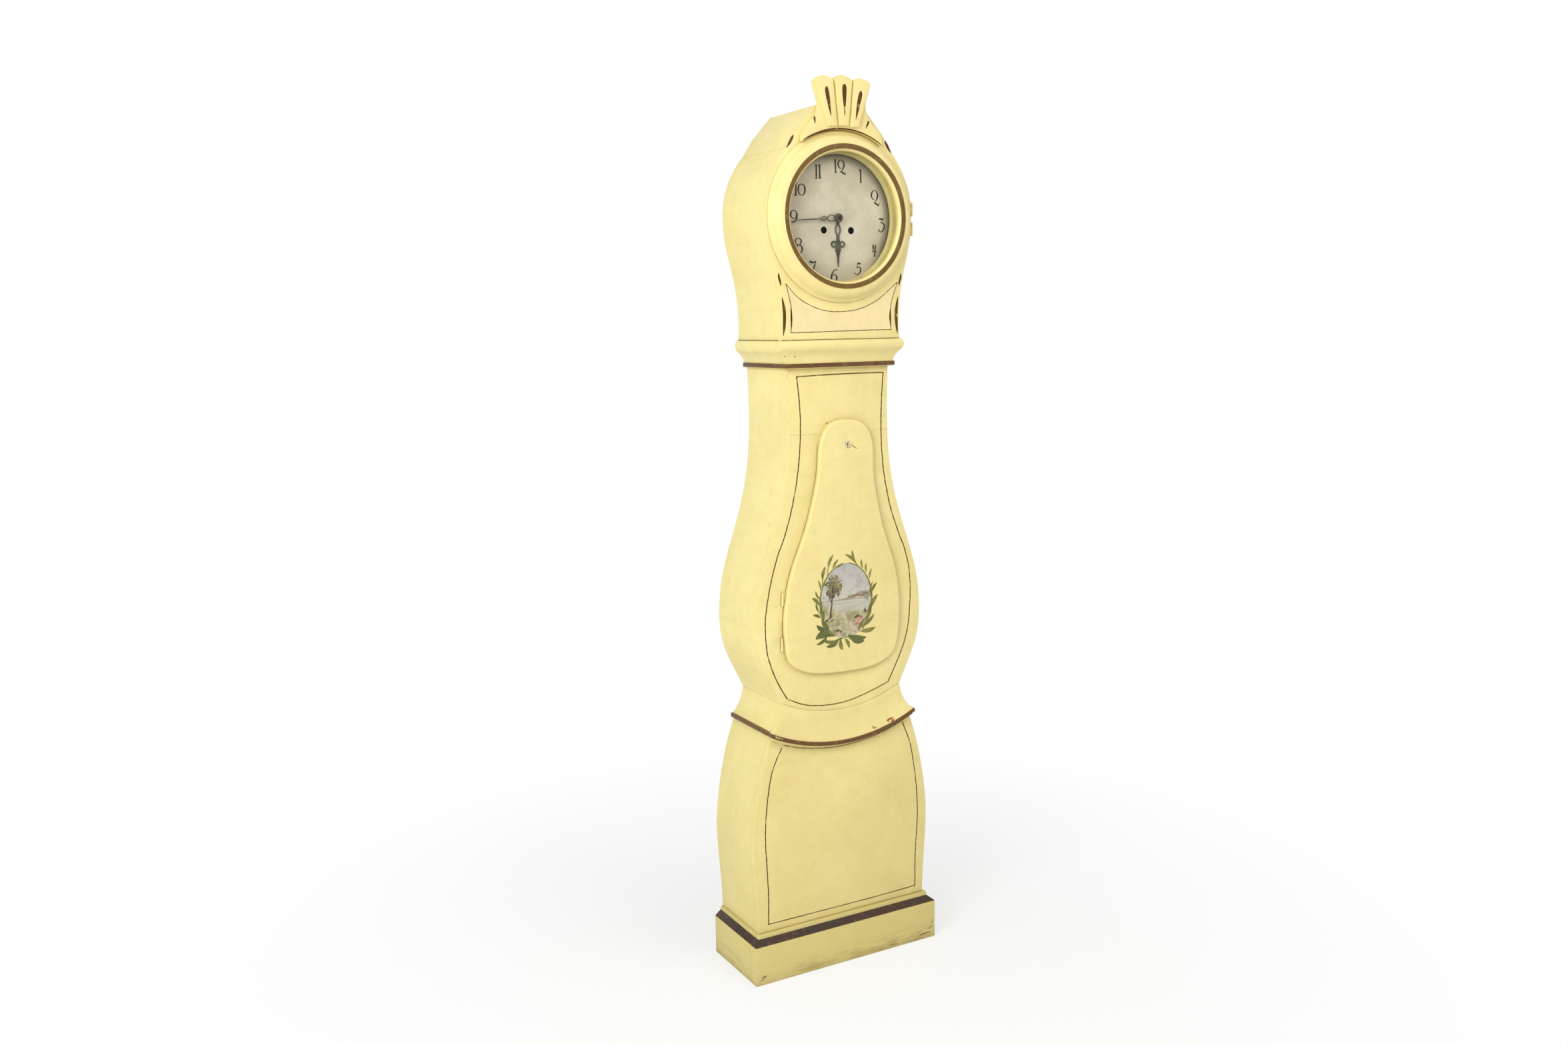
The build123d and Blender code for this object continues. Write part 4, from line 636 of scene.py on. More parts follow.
# %% Boards, mouldings and doors
def near_front(face, reach=0.0022):
    """Choose edges that lie on a front face."""
    return lambda middle: middle.y < face + reach


for name in ("base_front", "waist_front"):
    soften(name, upright, 0.0022, near_front(BASE_FACE))
soften("hood_front", upright, 0.002, near_front(HOOD_FACE))
for name in ("base_sides", "waist_sides", "hood_roof"):
    soften(name, upright, 0.0006)
soften("hood_sides", finishes["hood_side"], 0.0006)
for name in ("plinth_front", "plinth_sides"):
    soften(name, finishes["plinth"], 0.0015)
soften("mid_moulding_front", finishes["smile"], 0.0012)
soften("mid_moulding_sides", finishes["smile_side"], 0.0012)
for name in ("collar_front", "collar_sides"):
    soften(name, finishes["collar"], 0.001)
soften("waist_door", upright, 0.0032, near_front(DOOR_FACE), 4)
soften("hood_crown", finishes["crown"], 0.0018)
soften("bezel_ring", finishes["bezel"], 0.0008)

# %% [markdown]
# ## Strokes of the brush
# A painted line has a little body: the bristles leave a low ridge of paint, wide where the painter pressed
# and thin where the brush lifted. A curve with a round section does the same when each point has its own
# radius. It is made a mesh and then pressed almost flat against the board.

# %% Boards that carry paint: the depth of the face and the body it rides on
ON_BASE, ON_PLINTH, ON_DIAL = (BASE_FACE, "case"), (PLINTH_FACE, "case"), (DIAL_FACE, "case")
ON_HOOD, ON_CROWN, ON_DOOR = (HOOD_FACE, "hood"), (CROWN_FACE, "hood"), (DOOR_FACE, "waist_door")
AHEAD = (-0.1, "case")
LINE_RELIEF = 0.12
THINNEST = 0.00012


# %% Paint a set of strokes
def painted_strokes(name, strokes, board, finish, flat=0.05, lift=PAINT_LIFT):
    """Strokes are lists of (x, z, half width) in metres; a board is its face and its body."""
    face, body = board
    data = bpy.data.curves.new(name, "CURVE")
    data.dimensions = "3D"
    data.bevel_depth = 1.0
    data.bevel_resolution = 2
    data.use_fill_caps = True
    for stroke in strokes:
        line = data.splines.new("POLY")
        line.points.add(len(stroke) - 1)
        for point, (x, z, half) in zip(line.points, stroke):
            point.co = (x, 0.0, z, 1.0)
            point.radius = max(half, THINNEST)
    temporary = link_object(name, data)
    evaluated = temporary.evaluated_get(bpy.context.evaluated_depsgraph_get())
    mesh = bpy.data.meshes.new_from_object(evaluated)
    bpy.data.objects.remove(temporary)
    for vertex in mesh.vertices:
        vertex.co.y = face - lift + PAINT_RELIEF * tanh(vertex.co.y * flat / PAINT_RELIEF)
    mesh.materials.clear()
    mesh.materials.append(finish)
    smooth_by_angle(mesh, 60)
    made = link_object(name, mesh)
    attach(made, body)
    return made


def between_four(a, b, c, d, t):
    """Catmull-Rom value between b and c at a share t of the way."""
    return 0.5 * (
        (2 * b) + (c - a) * t + (2 * a - 5 * b + 4 * c - d) * t**2 + (3 * b - a - 3 * c + d) * t**3)


def smooth_path(points, steps=10):
    """Smooth curve through points of any dimension."""
    path = []
    for i in range(len(points) - 1):
        near = (points[max(i - 1, 0)], points[i], points[i + 1], points[min(i + 2, len(points) - 1)])
        for step in range(steps):
            path.append(tuple(between_four(*values, step / steps) for values in zip(*near)))
    return path + [tuple(points[-1])]


def wobble(path, amount, pitch=23.0):
    """Let the hand tremble: shift points a little, the same way on every run."""
    shaken = []
    for x, z, half in path:
        aside = amount * sin(pitch * 7 * z + 3 * x * pitch)
        up = amount * cos(pitch * 9 * x + 2)
        shaken.append((x + aside, z + up, half * (1 + 0.14 * sin(pitch * 17 * (x + z)))))
    return shaken


# %% Line paint
def line_paint(name, fresh, thin, fade=0.35):
    """Thin brown or black paint that has worn off in places down to the cream below."""
    material, shader, place = start_material(name)
    worn = remap(noise(place, 70.0, 5.0, 0.65), 0.60 - fade * 0.2, 0.68)
    tone = blend(noise(place, 25.0, 2.0), fresh, thin)
    set_surface(shader, blend(times(worn, 0.6), tone, CREAM_DEEP), remap(worn, 0.0, 1.0, 0.75, 0.8))
    shader.inputs["Specular IOR Level"].default_value = 0.08
    return material


fine_line = line_paint("Fine brown line", (68, 38, 8), (92, 60, 16), 0.1)
drop_paint = line_paint("Brown drops", (74, 48, 24), (104, 72, 38), 0.1)
numeral_paint = line_paint("Numeral paint", (48, 46, 42), (70, 66, 58), 0.1)

# %% [markdown]
# ## Lines, drops and scoops
# A painter went round the case with a long thin brush. Every line is one pull of the brush, so it starts
# and ends with a little more paint, trembles slightly and never closes its corners perfectly. Lengths below
# are in millimetres, as on a drawing; pull() turns them into a stroke.

# %% Strokes from a drawing in millimetres


def pull(points, width, steps=8, shake=0.15, ends=1.15):
    """One even pull of the brush through points in mm; width in mm."""
    path = smooth_path([(x / 1000, z / 1000) for x, z in points], steps)
    last = len(path) - 1
    halves = [width / 2000 * (ends if i in (0, last) else 1.0) for i in range(len(path))]
    return wobble([(x, z, half) for (x, z), half in zip(path, halves)], shake / 1000)


def pressed(points, widths, steps=6):
    """A stroke whose width changes on the way; widths in mm, one for each point."""
    return smooth_path([(x / 1000, z / 1000, w / 2000) for (x, z), w in zip(points, widths)], steps)


def arc_points(centre_z, radius, start, end, steps=12):
    """Points of an arc about the middle line between two sideways places, below or above its centre."""
    sign = 1 if radius > 0 else -1
    places = [start + (end - start) * i / steps for i in range(steps + 1)]
    return [(x, centre_z + sign * sqrt(radius**2 - x**2)) for x in places]


# %% Line round the base
base_lines = [
    pull([(-206, 133.5), (-100, 133), (0, 132.5), (105, 132.5), (208, 134.5)], 2.0),
    pull([
        (-206, 133), (-204.5, 200), (-206.5, 260), (-209.5, 325), (-207.5, 390), (-199, 455), (-187, 505),
        (-163, 552)], 2.6),
    pull([
        (208, 134), (208.5, 200), (212, 255), (216, 310), (215.5, 350), (212, 400), (205, 450), (194, 505),
        (172, 560)], 2.4),
    pull(arc_points(990, -460, -157, 171), 1.5)]
painted_strokes("base_lines", base_lines, ON_BASE, fine_line, flat=LINE_RELIEF)

# %% Line round the waist
waist_lines = [
    pull([(-109.5, 1400), (0, 1402.5), (121, 1402.5)], 2.2),
    pull([
        (-109, 1400.5), (-103, 1345), (-101, 1300), (-103, 1240), (-110, 1182), (-118, 1140), (-131, 1088),
        (-149, 1036), (-165, 1000), (-181, 950), (-192, 903), (-199, 860), (-199.5, 822), (-196, 780),
        (-185, 742), (-168, 703), (-146, 666)], 2.6),
    pull([
        (-143, 664), (-100, 645), (-60, 637), (-20, 634.5), (20, 637), (60, 645), (100, 656),
        (133, 667)], 2.2),
    pull([
        (132, 667), (148, 696), (165, 728), (180, 763), (190, 802), (194.5, 843), (196, 890), (192, 940),
        (180, 985), (165, 1020), (152, 1054), (140, 1088), (130, 1130), (122, 1172), (117, 1222),
        (115, 1280), (117, 1342), (121.5, 1403)], 2.6)]
painted_strokes("waist_lines", waist_lines, ON_BASE, fine_line, flat=LINE_RELIEF)

# %% Framed panel below the dial
panel_sides = {
    "foot": [(-132, 1497.5), (-60, 1498), (0, 1499), (70, 1500), (133, 1500)],
    "right": [(133, 1500), (130.5, 1514), (129, 1532), (133.5, 1560), (143, 1587), (151, 1606)],
    "arc": [
        (151, 1607), (129, 1591), (104, 1572), (75, 1557), (40, 1546), (0, 1542), (-31, 1543), (-61, 1549),
        (-95, 1563), (-121, 1581), (-143, 1604)],
    "left": [(-143, 1604), (-136, 1580), (-129.5, 1548), (-128, 1522), (-132, 1497.5)],}
painted_strokes(
    "panel_lines", [pull(points, 1.6) for points in panel_sides.values()], ON_HOOD, fine_line,
    flat=LINE_RELIEF)
print("framing lines:", len(base_lines) + len(waist_lines) + len(panel_sides))

# %% [markdown]
# Inside the frame below the dial the cream is pinker, one thin flat coat laid over the rest. A coat is a
# polygon with a little thickness.


# %% Thin coat inside an outline
def painted_coat(name, outline, board, finish, lift=0.00006, thickness=0.0003):
    """Flat closed plate over an outline of (x, z) points in metres."""
    face, body = board
    coat = bmesh.new()
    corners = [coat.verts.new((x, face - lift, z)) for x, z in outline]
    front = coat.faces.new(corners)
    if front.normal.y > 0:
        front.normal_flip()
    bmesh.ops.triangulate(coat, faces=[front])
    extruded = bmesh.ops.extrude_face_region(coat, geom=coat.faces[:])
    moved = [e for e in extruded["geom"] if isinstance(e, bmesh.types.BMVert)]
    bmesh.ops.translate(coat, verts=moved, vec=(0, thickness, 0))
    bmesh.ops.recalc_face_normals(coat, faces=coat.faces[:])
    mesh = bpy.data.meshes.new(name)
    coat.to_mesh(mesh)
    coat.free()
    mesh.materials.append(finish)
    made = link_object(name, mesh)
    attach(made, body)


panel_paint = cream_paint(
    "Pink cream paint", stretch=ACROSS, tint=(244, 222, 172), wear=0.0, low_shade_and_scuffs=False)
panel_outline = []
for side in ("foot", "right", "arc", "left"):
    panel_outline += smooth_path([(x / 1000, z / 1000) for x, z in panel_sides[side]], 5)[:-1]
painted_coat("panel_coat", panel_outline, ON_HOOD, panel_paint)

# %% [markdown]
# Strokes on the carved crown have to follow its swelling lobes, so each point of them is dropped on to the
# surface below before the paint is laid.


# %% Lay strokes on a carved surface
def drop_on(made, target, lift=PAINT_LIFT):
    """Move every point of a flat set of strokes back on to the surface of another piece."""
    surface = BVHTree.FromObject(target, bpy.context.evaluated_depsgraph_get())
    level = sum(v.co.y for v in made.data.vertices) / len(made.data.vertices)
    for vertex in made.data.vertices:
        start = Vector((vertex.co.x, -1.0, vertex.co.z))
        hit = surface.ray_cast(start, Vector((0, 1, 0)))[0]
        if hit is not None:
            vertex.co.y = hit.y - lift + (vertex.co.y - level)


# %% Crown drops, and a line at the crown's foot with painted shadow of the gap
crown_piece = bpy.data.objects["hood_crown_painted"]
crown_drops = [
    pressed([(-44, 2022), (-44, 2015), (-41, 2000), (-38, 1983), (-34, 1961)], [4, 9, 9.5, 6.5, 1.2]),
    pressed([(1, 2030), (1, 2022), (1, 2003), (1, 1985), (1, 1964)], [5, 11, 9.5, 5.5, 1.2]),
    pressed([(43, 2018), (42.5, 2011), (38.5, 1996), (34.5, 1978), (30, 1957)], [4, 9, 9, 6.5, 1.2]),
    pressed([(-72, 1959), (-71.5, 1955), (-70, 1944)], [3, 5, 1.2]),
    pressed([(67.5, 1957), (65.5, 1951), (60.5, 1941)], [4, 5, 1.2]),
]
drop_on(painted_strokes("crown_drops", crown_drops, ON_CROWN, drop_paint, flat=0.08), crown_piece)
# The brown line at the crown's foot also stands for the shadow in the gap above the glazed door: partly
# painted shadow.
crown_line_and_gap_shadow = pressed(
    arc_points(DIAL_Z * 1000, 188.9, -101, 101, 16), [1.2] + [2.6] * 3 + [3.4] * 9 + [2.6] * 3 + [1.2], 3)
drop_on(painted_strokes("crown_line_and_gap_shadow", [crown_line_and_gap_shadow], ON_CROWN, drop_paint, flat=0.1), crown_piece)

# %% Scoops on the edges of the hood board
scoops = []
for side in (-1, 1):
    scoops += [
        pressed([
            (side * 118, 1919), (side * 122, 1912), (side * 128, 1902),
            (side * 135.5, 1892)], [2, 6, 5.5, 1.2]),
        pressed([
            (side * 160, 1626), (side * 159.5, 1618), (side * 156.5, 1608),
            (side * 155, 1599)], [2, 5, 5, 1.2]),
        pressed([
            (side * 152.5, 1574), (side * 149.5, 1560), (side * 147, 1540), (side * 147.5, 1518),
            (side * 149, 1502), (side * 150.5, 1491)], [1.5, 5.5, 8, 7.5, 5, 1.2])]
painted_strokes("hood_scoops", scoops, ON_HOOD, drop_paint, flat=0.06)
print("drops and scoops:", len(crown_drops) + len(scoops))

# %% [markdown]
# ## Numerals
# The dial was lettered by hand in upright figures. Thick and thin parts come from a flat brush, so every
# figure is a few strokes with changing width. The numbers below are millimetres from the dial's centre.

# %% Figures of the dial: each stroke is (across, above the centre, width)
FIGURE_WEIGHT = 1.25
FIGURES = {
    "one": [
        [(62, 107, 3.4), (62.3, 93, 2.8), (62.5, 79.5, 3.2)],
        [(57.5, 105.6, 1), (60, 106.6, 1.8), (62.5, 107.6, 2.6)],
        [(59.5, 79.2, 1), (62.5, 79.4, 1.6), (66, 79.2, 1)]],
    "two": [
        [(99, 42.5, 1.2), (93, 45, 2.2), (90.8, 53, 3.4), (94, 60.6, 2.2), (99.5, 63, 1.2),
         (105, 59.5, 2.2), (107.4, 52, 3.4), (105.5, 45, 2.8), (102, 39.5, 1.6), (98, 35, 1.2)],
        [(97.5, 34.6, 1.4), (101, 34.8, 2.8), (105, 32.6, 3.2), (109, 30.2, 2.6), (111, 31.6, 1.4),
         (112, 37, 0.9)]],
    "three": [
        [(110.8, -1.4, 1.2), (113.5, 1, 3.2), (117.5, -0.6, 2.8), (121.5, 0.4, 2.4), (123, 1.6, 1.2)],
        [(122.4, 0.8, 1.2), (118.6, -4.4, 1.4), (115.5, -8.6, 1.2)],
        [(115.2, -8.8, 1.2), (120.6, -9, 2.2), (124.8, -13.6, 3.2), (124, -21, 3), (119.6, -27, 2.2),
         (114.4, -28.4, 1.8), (110.6, -25.8, 2), (110.8, -23, 2.6)]],
    "four": [
        [(93.6, -57, 2.6), (95, -63, 3.2), (94.2, -69, 2), (91.6, -73.4, 1.2)],
        [(91.4, -73.4, 1.2), (96, -72.2, 1.6), (100.5, -72.8, 1.6), (105.6, -72.6, 1)],
        [(101.4, -56.4, 2.4), (100.2, -65, 3.2), (98.6, -75, 3), (98, -82.4, 2.8)],
        [(95, -82.6, 0.9), (98, -82.4, 1.6), (101.4, -82.6, 0.9)]],
    "five": [
        [(51.6, -102, 1.4), (54, -98.8, 3.4), (58, -100, 2.8), (62, -97.6, 1.2)],
        [(51.8, -101.4, 1.2), (50.8, -106, 1.3), (50.2, -109.4, 1.2)],
        [(50.2, -109.6, 1.2), (54.6, -106.8, 1.8), (59.2, -109.2, 3), (60.4, -114.8, 3.2),
         (57.4, -120.6, 2.4), (52, -123.6, 1.8), (46.8, -123, 1.8), (44.8, -120, 2.6)]],
    "six": [
        [(-1.4, -114.6, 2.6), (-5.6, -113, 1.6), (-10.6, -115.6, 2), (-15.2, -122.4, 2.8),
         (-17.2, -131, 3.4), (-15.2, -137.6, 2.6), (-10.6, -140.2, 1.4)],
        [(-10.6, -140.2, 1.4), (-5.4, -137.6, 2.4), (-3, -131.6, 3.2), (-5, -126, 2.2), (-9.4, -123.6, 1.4),
         (-13.6, -125.6, 1.3), (-16, -130, 1.2)]],
    "seven": [
        [(-74.2, -98.6, 1.2), (-71, -95.8, 3.4), (-66.6, -97.8, 3.4), (-61.4, -97, 2.4), (-56.6, -95, 1.2)],
        [(-56.4, -95.4, 1.2), (-59.4, -102, 2), (-62.4, -110, 2.8), (-63, -119, 3.4)]],
    "eight": [
        [(-101, -60.4, 1.3), (-107.2, -57.6, 2.2), (-109.4, -52.4, 3), (-106.6, -47.4, 2),
         (-101.4, -45.8, 1.3), (-95.8, -48, 2.2), (-93.6, -53, 3), (-96, -58, 2), (-101, -60.4, 1.3)],
        [(-101, -60.4, 1.3), (-94.6, -62.2, 2.4), (-91.4, -67.6, 3.4), (-93, -74.4, 2.4), (-98.8, -78, 1.4),
         (-104.6, -75.6, 2), (-107, -69.4, 3), (-104.4, -63.2, 2.2), (-101, -60.4, 1.3)]],
    "nine": [
        [(-112, -4, 1.4), (-117.8, -0.8, 2.2), (-119.8, 5, 3.2), (-117.2, 11.4, 2.2), (-112, 14, 1.4),
         (-106.4, 11.4, 2.2), (-104, 4.4, 3.4), (-104.4, -2.4, 3), (-107.4, -8.6, 2.4),
         (-112.6, -11.6, 1.8), (-117.6, -10.6, 2.6)],
        [(-112, -4, 1.4), (-107.8, -2.4, 1.3), (-104.6, 1.6, 1.4)]],
    "ten": [
        [(-105.2, 72.4, 3.4), (-105.6, 59, 3), (-106, 46.4, 3.6)],
        [(-109.6, 71.6, 1), (-106, 72.6, 1.8), (-101.6, 72.4, 1)],
        [(-110.4, 46, 1), (-106, 46.2, 1.8), (-102.2, 46, 1)],
        [(-91, 70.8, 1.3), (-97.6, 67.2, 2.4), (-99.8, 58.4, 3.4), (-97.4, 49.8, 2.4), (-91, 46.4, 1.3),
         (-84.8, 50, 2.4), (-82.4, 58.8, 3.4), (-84.8, 67.4, 2.4), (-91, 70.8, 1.3)]],
    "eleven": [
        [(-53.2, 112, 3.6), (-53.2, 98, 3), (-53.4, 84, 3.6)],
        [(-57, 111.4, 1), (-53.5, 112.4, 1.8), (-50, 112, 1)],
        [(-56.6, 83.6, 1), (-53.4, 83.8, 1.6), (-50.2, 83.6, 1)],
        [(-44.8, 112.6, 3.6), (-44.4, 99, 3), (-44, 84.4, 3.6)],
        [(-48.4, 112, 1), (-44.8, 113, 1.8), (-41.4, 112.6, 1)],
        [(-47.4, 84, 1), (-44, 84.2, 1.6), (-40.8, 84, 1)]],
    "twelve": [
        [(-4.6, 125.6, 3.4), (-3.6, 112, 3), (-3, 98.4, 3.4)],
        [(-9, 125.4, 1), (-5.6, 126.4, 2), (-2, 125.8, 1)],
        [(-6.4, 98.2, 1), (-3, 98.4, 1.6), (0.4, 98.2, 1)],
        [(11.6, 107.4, 1.2), (6, 109.2, 2.2), (3, 116, 3.4), (5, 123, 2.2), (10.6, 125.8, 1.3),
         (16.4, 123, 2.2), (18.8, 116, 3.4), (17, 109, 2.8), (13.2, 103.4, 1.6), (9, 100, 1.2)],
        [(8.6, 99.4, 1.4), (12, 100.4, 2.8), (16.4, 98, 3.2), (20, 95.4, 2.6), (22, 96.8, 1.4),
         (22.8, 102, 0.9)]]}
strokes = []
for figure in FIGURES.values():
    for rows in figure:
        path = pressed([(x, DIAL_Z * 1000 + z) for x, z, width in rows], [width for x, z, width in rows])
        strokes.append([(x, z, half * FIGURE_WEIGHT) for x, z, half in path])
painted_strokes("dial_figures", strokes, ON_DIAL, numeral_paint, flat=0.07, lift=0.00003)
print("figures on the dial:", len(FIGURES), "from", len(strokes), "strokes")

# %% [markdown]
# ## Wreath on the door
# A laurel wreath lies round an oval on the lower part of the door: loose slender leaves at the top, broad
# dark ones at the bottom. A leaf is one stroke that swells and runs out to a point, laid from the stem to
# the tip.

# %% Leaves
OVAL_X, OVAL_Z = 8.0, 880.0
OVAL_HALF_WIDTH, OVAL_HALF_HEIGHT = 70.5, 88.5
NEAR_STEM, STALK_SLANT, STALK_WIDTH = 1.06, 9, 2.2
LEAF_FULLNESS = 1.12


def on_oval(turn):
    """Place on the oval, counted from its right end."""
    return (OVAL_X + OVAL_HALF_WIDTH * cos(radians(turn)), OVAL_Z + OVAL_HALF_HEIGHT * sin(radians(turn)))


def stalk(base):
    """Stalk from the oval's stem to the foot of a leaf, or nothing where the leaf starts on it."""
    across, up = (base[0] - OVAL_X) / OVAL_HALF_WIDTH, (base[1] - OVAL_Z) / OVAL_HALF_HEIGHT
    if across**2 + up**2 < NEAR_STEM**2:
        return [], []
    lower = STALK_SLANT if across < 0 else -STALK_SLANT
    return [on_oval(degrees(atan2(up, across)) + lower)], [STALK_WIDTH]


def leaf(foot_x, foot_z, tip_x, tip_z, width, bend=0.08):
    """One leaf from foot to tip in mm; bend pushes its middle sideways as a share of its length."""
    base, run = (foot_x, foot_z), Vector((tip_x - foot_x, tip_z - foot_z))
    aside = Vector((-run.y, run.x)) * bend
    points, widths = stalk(base)
    for share, swell in ((0.0, 0.3), (0.25, 0.8), (0.5, 1.0), (0.78, 0.72), (1.0, 0.1)):
        lean = aside * (1 - (2 * share - 1) ** 2)
        points.append((base[0] + run.x * share + lean.x, base[1] + run.y * share + lean.y))
        widths.append(width * LEAF_FULLNESS * swell)
    return pressed(points, widths, 4)


olive_leaves = [leaf(*row) for row in (
    (-40, 962, -25, 992, 6.5), (-27, 960, -12, 979, 5), (-22, 962, 1, 970, 5, -0.08),
    (-55, 936, -47, 966, 7.5), (-58, 922, -39, 931, 5, -0.1), (-61, 912, -68, 936, 4.5, -0.1),
    (-65, 893, -74, 912, 4.5), (-66, 878, -84, 896, 7.5, -0.12), (-66, 862, -73, 884, 5),
    (33, 971, 26, 997, 5.5), (36, 966, 6, 989, 6.5, -0.08), (54, 952, 51, 974, 4.5),
    (64, 942, 64, 963, 5), (73, 926, 79, 949, 4.5), (78, 892, 93, 913, 7, 0.1),
    (80, 860, 95, 885, 8, 0.1), (74, 888, 82, 918, 4),
    (52, 806, 88, 808, 9.5, -0.12), (4, 790, 15, 767, 7.5, 0.1), (-8, 790, -3, 765, 9.5, -0.1),
    (54, 815, 71, 821, 4.5), (46, 803, 66, 797, 5),
)]
green_leaves = [leaf(*row) for row in (
    (-62, 848, -82, 856, 6, -0.1), (-54, 838, -63, 872, 7, -0.1), (48, 815, 85, 840, 8, -0.1),
    (-20, 790, -56, 796, 7, 0.15), (-46, 818, -58, 846, 6), (60, 830, 76, 858, 8, -0.1),
    (66, 846, 79, 878, 7, -0.08), (-58, 858, -66, 898, 5, -0.06), (40, 806, 62, 833, 6),
)]
dark_leaves = [leaf(*row) for row in (
    (-43, 818, -72, 832, 10, 0.15), (-36, 803, -75, 799, 16, -0.18), (-44, 802, -73, 786, 7, 0.1),
    (-14, 790, -47, 778, 9.5, 0.12), (12, 797, 62, 787, 14, -0.1), (20, 792, 57, 779, 12, -0.12),
    (-40, 808, -58, 838, 8, -0.1), (-18, 788, -30, 776, 7, 0.1),
)]


# %% Leaf paints
def leaf_paint(name, dark, light):
    """Paint of a leaf or a dab, with lighter streaks where the brush ran dry."""
    material, shader, place = start_material(name)
    streak = noise(place, 120.0, 4.0, 0.6)
    patch = noise(place, 28.0, 3.0)
    tone = blend(remap(plus(times(streak, 0.5), times(patch, 0.5)), 0.38, 0.62), dark, light)
    set_surface(shader, tone, remap(streak, 0.3, 0.7, 0.55, 0.7))
    shader.inputs["Specular IOR Level"].default_value = 0.25
    return material


olive = leaf_paint("Olive leaf paint", (110, 108, 50), (146, 140, 80))
green = leaf_paint("Green leaf paint", (98, 100, 50), (128, 126, 72))
dark_green = leaf_paint("Dark leaf paint", (82, 90, 52), (112, 114, 64))


def stem(start, end, low, high):
    """Stem along the oval between two angles, thin at the far end."""
    steps = 14
    points = [on_oval(start + (end - start) * i / steps) for i in range(steps + 1)]
    widths = [low + (high - low) * (1 - i / steps) for i in range(steps + 1)]
    return pressed(points, widths, 3)


stems = [stem(238, 96, 2.0, 5.6), stem(-52, 84, 2.0, 6.0)]
painted_strokes("wreath_stems", stems, ON_DOOR, olive, flat=0.06, lift=0.00022)
for name, leaves, paint, lift in (
        ("olive", olive_leaves, olive, 0.00026), ("green", green_leaves, green, 0.0003),
        ("dark", dark_leaves, dark_green, 0.00034)):
    painted_strokes(f"wreath_{name}_leaves", leaves, ON_DOOR, paint, lift=lift)
print("leaves in the wreath:", len(olive_leaves) + len(green_leaves) + len(dark_leaves))

# %% [markdown]
# ## The little landscape
# Inside the wreath sits a small country scene in faded colours: a tall tree on a bank at the left, a pale
# lake, far hills with a farm, a path and a flowering bush. The ground of it is one thin coat whose material
# is built from the height inside the oval: sky above, water in the middle, meadow below. Trees and flowers
# are dabs of the brush.

# %% Ground of the landscape
picture, shader, place = start_material("Landscape ground")
xyz = add_node("ShaderNodeSeparateXYZ", {0: place})
across = remap(
    xyz.outputs["X"], (OVAL_X - OVAL_HALF_WIDTH) / 1000, (OVAL_X + OVAL_HALF_WIDTH) / 1000, -1.0, 1.0)
height = remap(
    xyz.outputs["Z"], (OVAL_Z - OVAL_HALF_HEIGHT) / 1000, (OVAL_Z + OVAL_HALF_HEIGHT) / 1000, -1.0, 1.0)
mottle = noise(place, 60.0, 6.0, 0.62)
drift = noise(place, 18.0, 3.0)
sky_tone = blend(remap(height, 0.1, 1.0), (204, 196, 180), (182, 177, 172))
sky_tone = blend(remap(drift, 0.42, 0.66), sky_tone, (196, 188, 178))
sky_tone = blend(remap(mottle, 0.46, 0.62, 0.0, 0.7), sky_tone, (164, 160, 154))
hill_line = plus(0.05, times(remap(across, -0.35, 0.55), 0.15))
hill_line = plus(hill_line, times(minus(drift, 0.5), 0.22))
hills = remap(minus(hill_line, height), -0.012, 0.012)
scene_tone = blend(hills, sky_tone, blend(mottle, (146, 134, 120), (168, 154, 130)))
shore = remap(height, 0.03, 0.015)
ripples = noise(vector_maths("MULTIPLY", place, (0.25, 1.0, 2.5)), 110.0, 3.0)
water = blend(remap(ripples, 0.4, 0.62), (180, 175, 160), (198, 191, 170))
scene_tone = blend(shore, scene_tone, water)
bank_line = plus(-0.25, times(remap(across, -0.3, -0.95), 0.22))
bank_line = plus(bank_line, times(minus(drift, 0.5), 0.3))
meadow = remap(minus(bank_line, height), -0.015, 0.03)
grass = blend(remap(mottle, 0.38, 0.6), (148, 142, 96), (196, 184, 146))
scene_tone = blend(meadow, scene_tone, grass)
bend = times(maths("SINE", times(height, 5.0)), 0.24)
from_path = maths("ABSOLUTE", minus(across, plus(bend, 0.12)))
path_half = remap(height, -1.0, -0.25, 0.20, 0.03)
on_path = times(remap(minus(from_path, path_half), 0.02, -0.02), meadow)
scene_tone = blend(on_path, scene_tone, blend(mottle, (208, 194, 162), (186, 168, 138)))
stains = remap(noise(place, 34.0, 5.0, 0.7), 0.60, 0.74)
scene_tone = blend(times(stains, 0.45), scene_tone, (146, 118, 98))
cracks = group_node(crackle_tree, Vector=place, Scale=230.0, Cover=0.6).outputs["Cracks"]
scene_tone = blend(times(cracks, 0.3), scene_tone, (110, 92, 74))
set_surface(shader, scene_tone, remap(mottle, 0.3, 0.7, 0.45, 0.62))
set_bump(shader, mottle, 0.3, 0.0003)
oval = [tuple(c / 1000 for c in on_oval(3 * i)) for i in range(120)]
painted_coat("landscape_ground", oval, ON_DOOR, picture, lift=0.0001)

# %% Dabs of the brush


def dab(x, z, length, width, angle):
    """Short stroke about a place in mm, swollen in the middle."""
    reach = Vector((cos(radians(angle)), sin(radians(angle)))) * length / 2
    return pressed(
        [(x - reach.x, z - reach.y), (x - reach.x * 0.4, z - reach.y * 0.35),
         (x + reach.x * 0.4, z + reach.y * 0.45), (x + reach.x, z + reach.y)],
        [width * 0.25, width, width * 0.9, width * 0.2], 2)


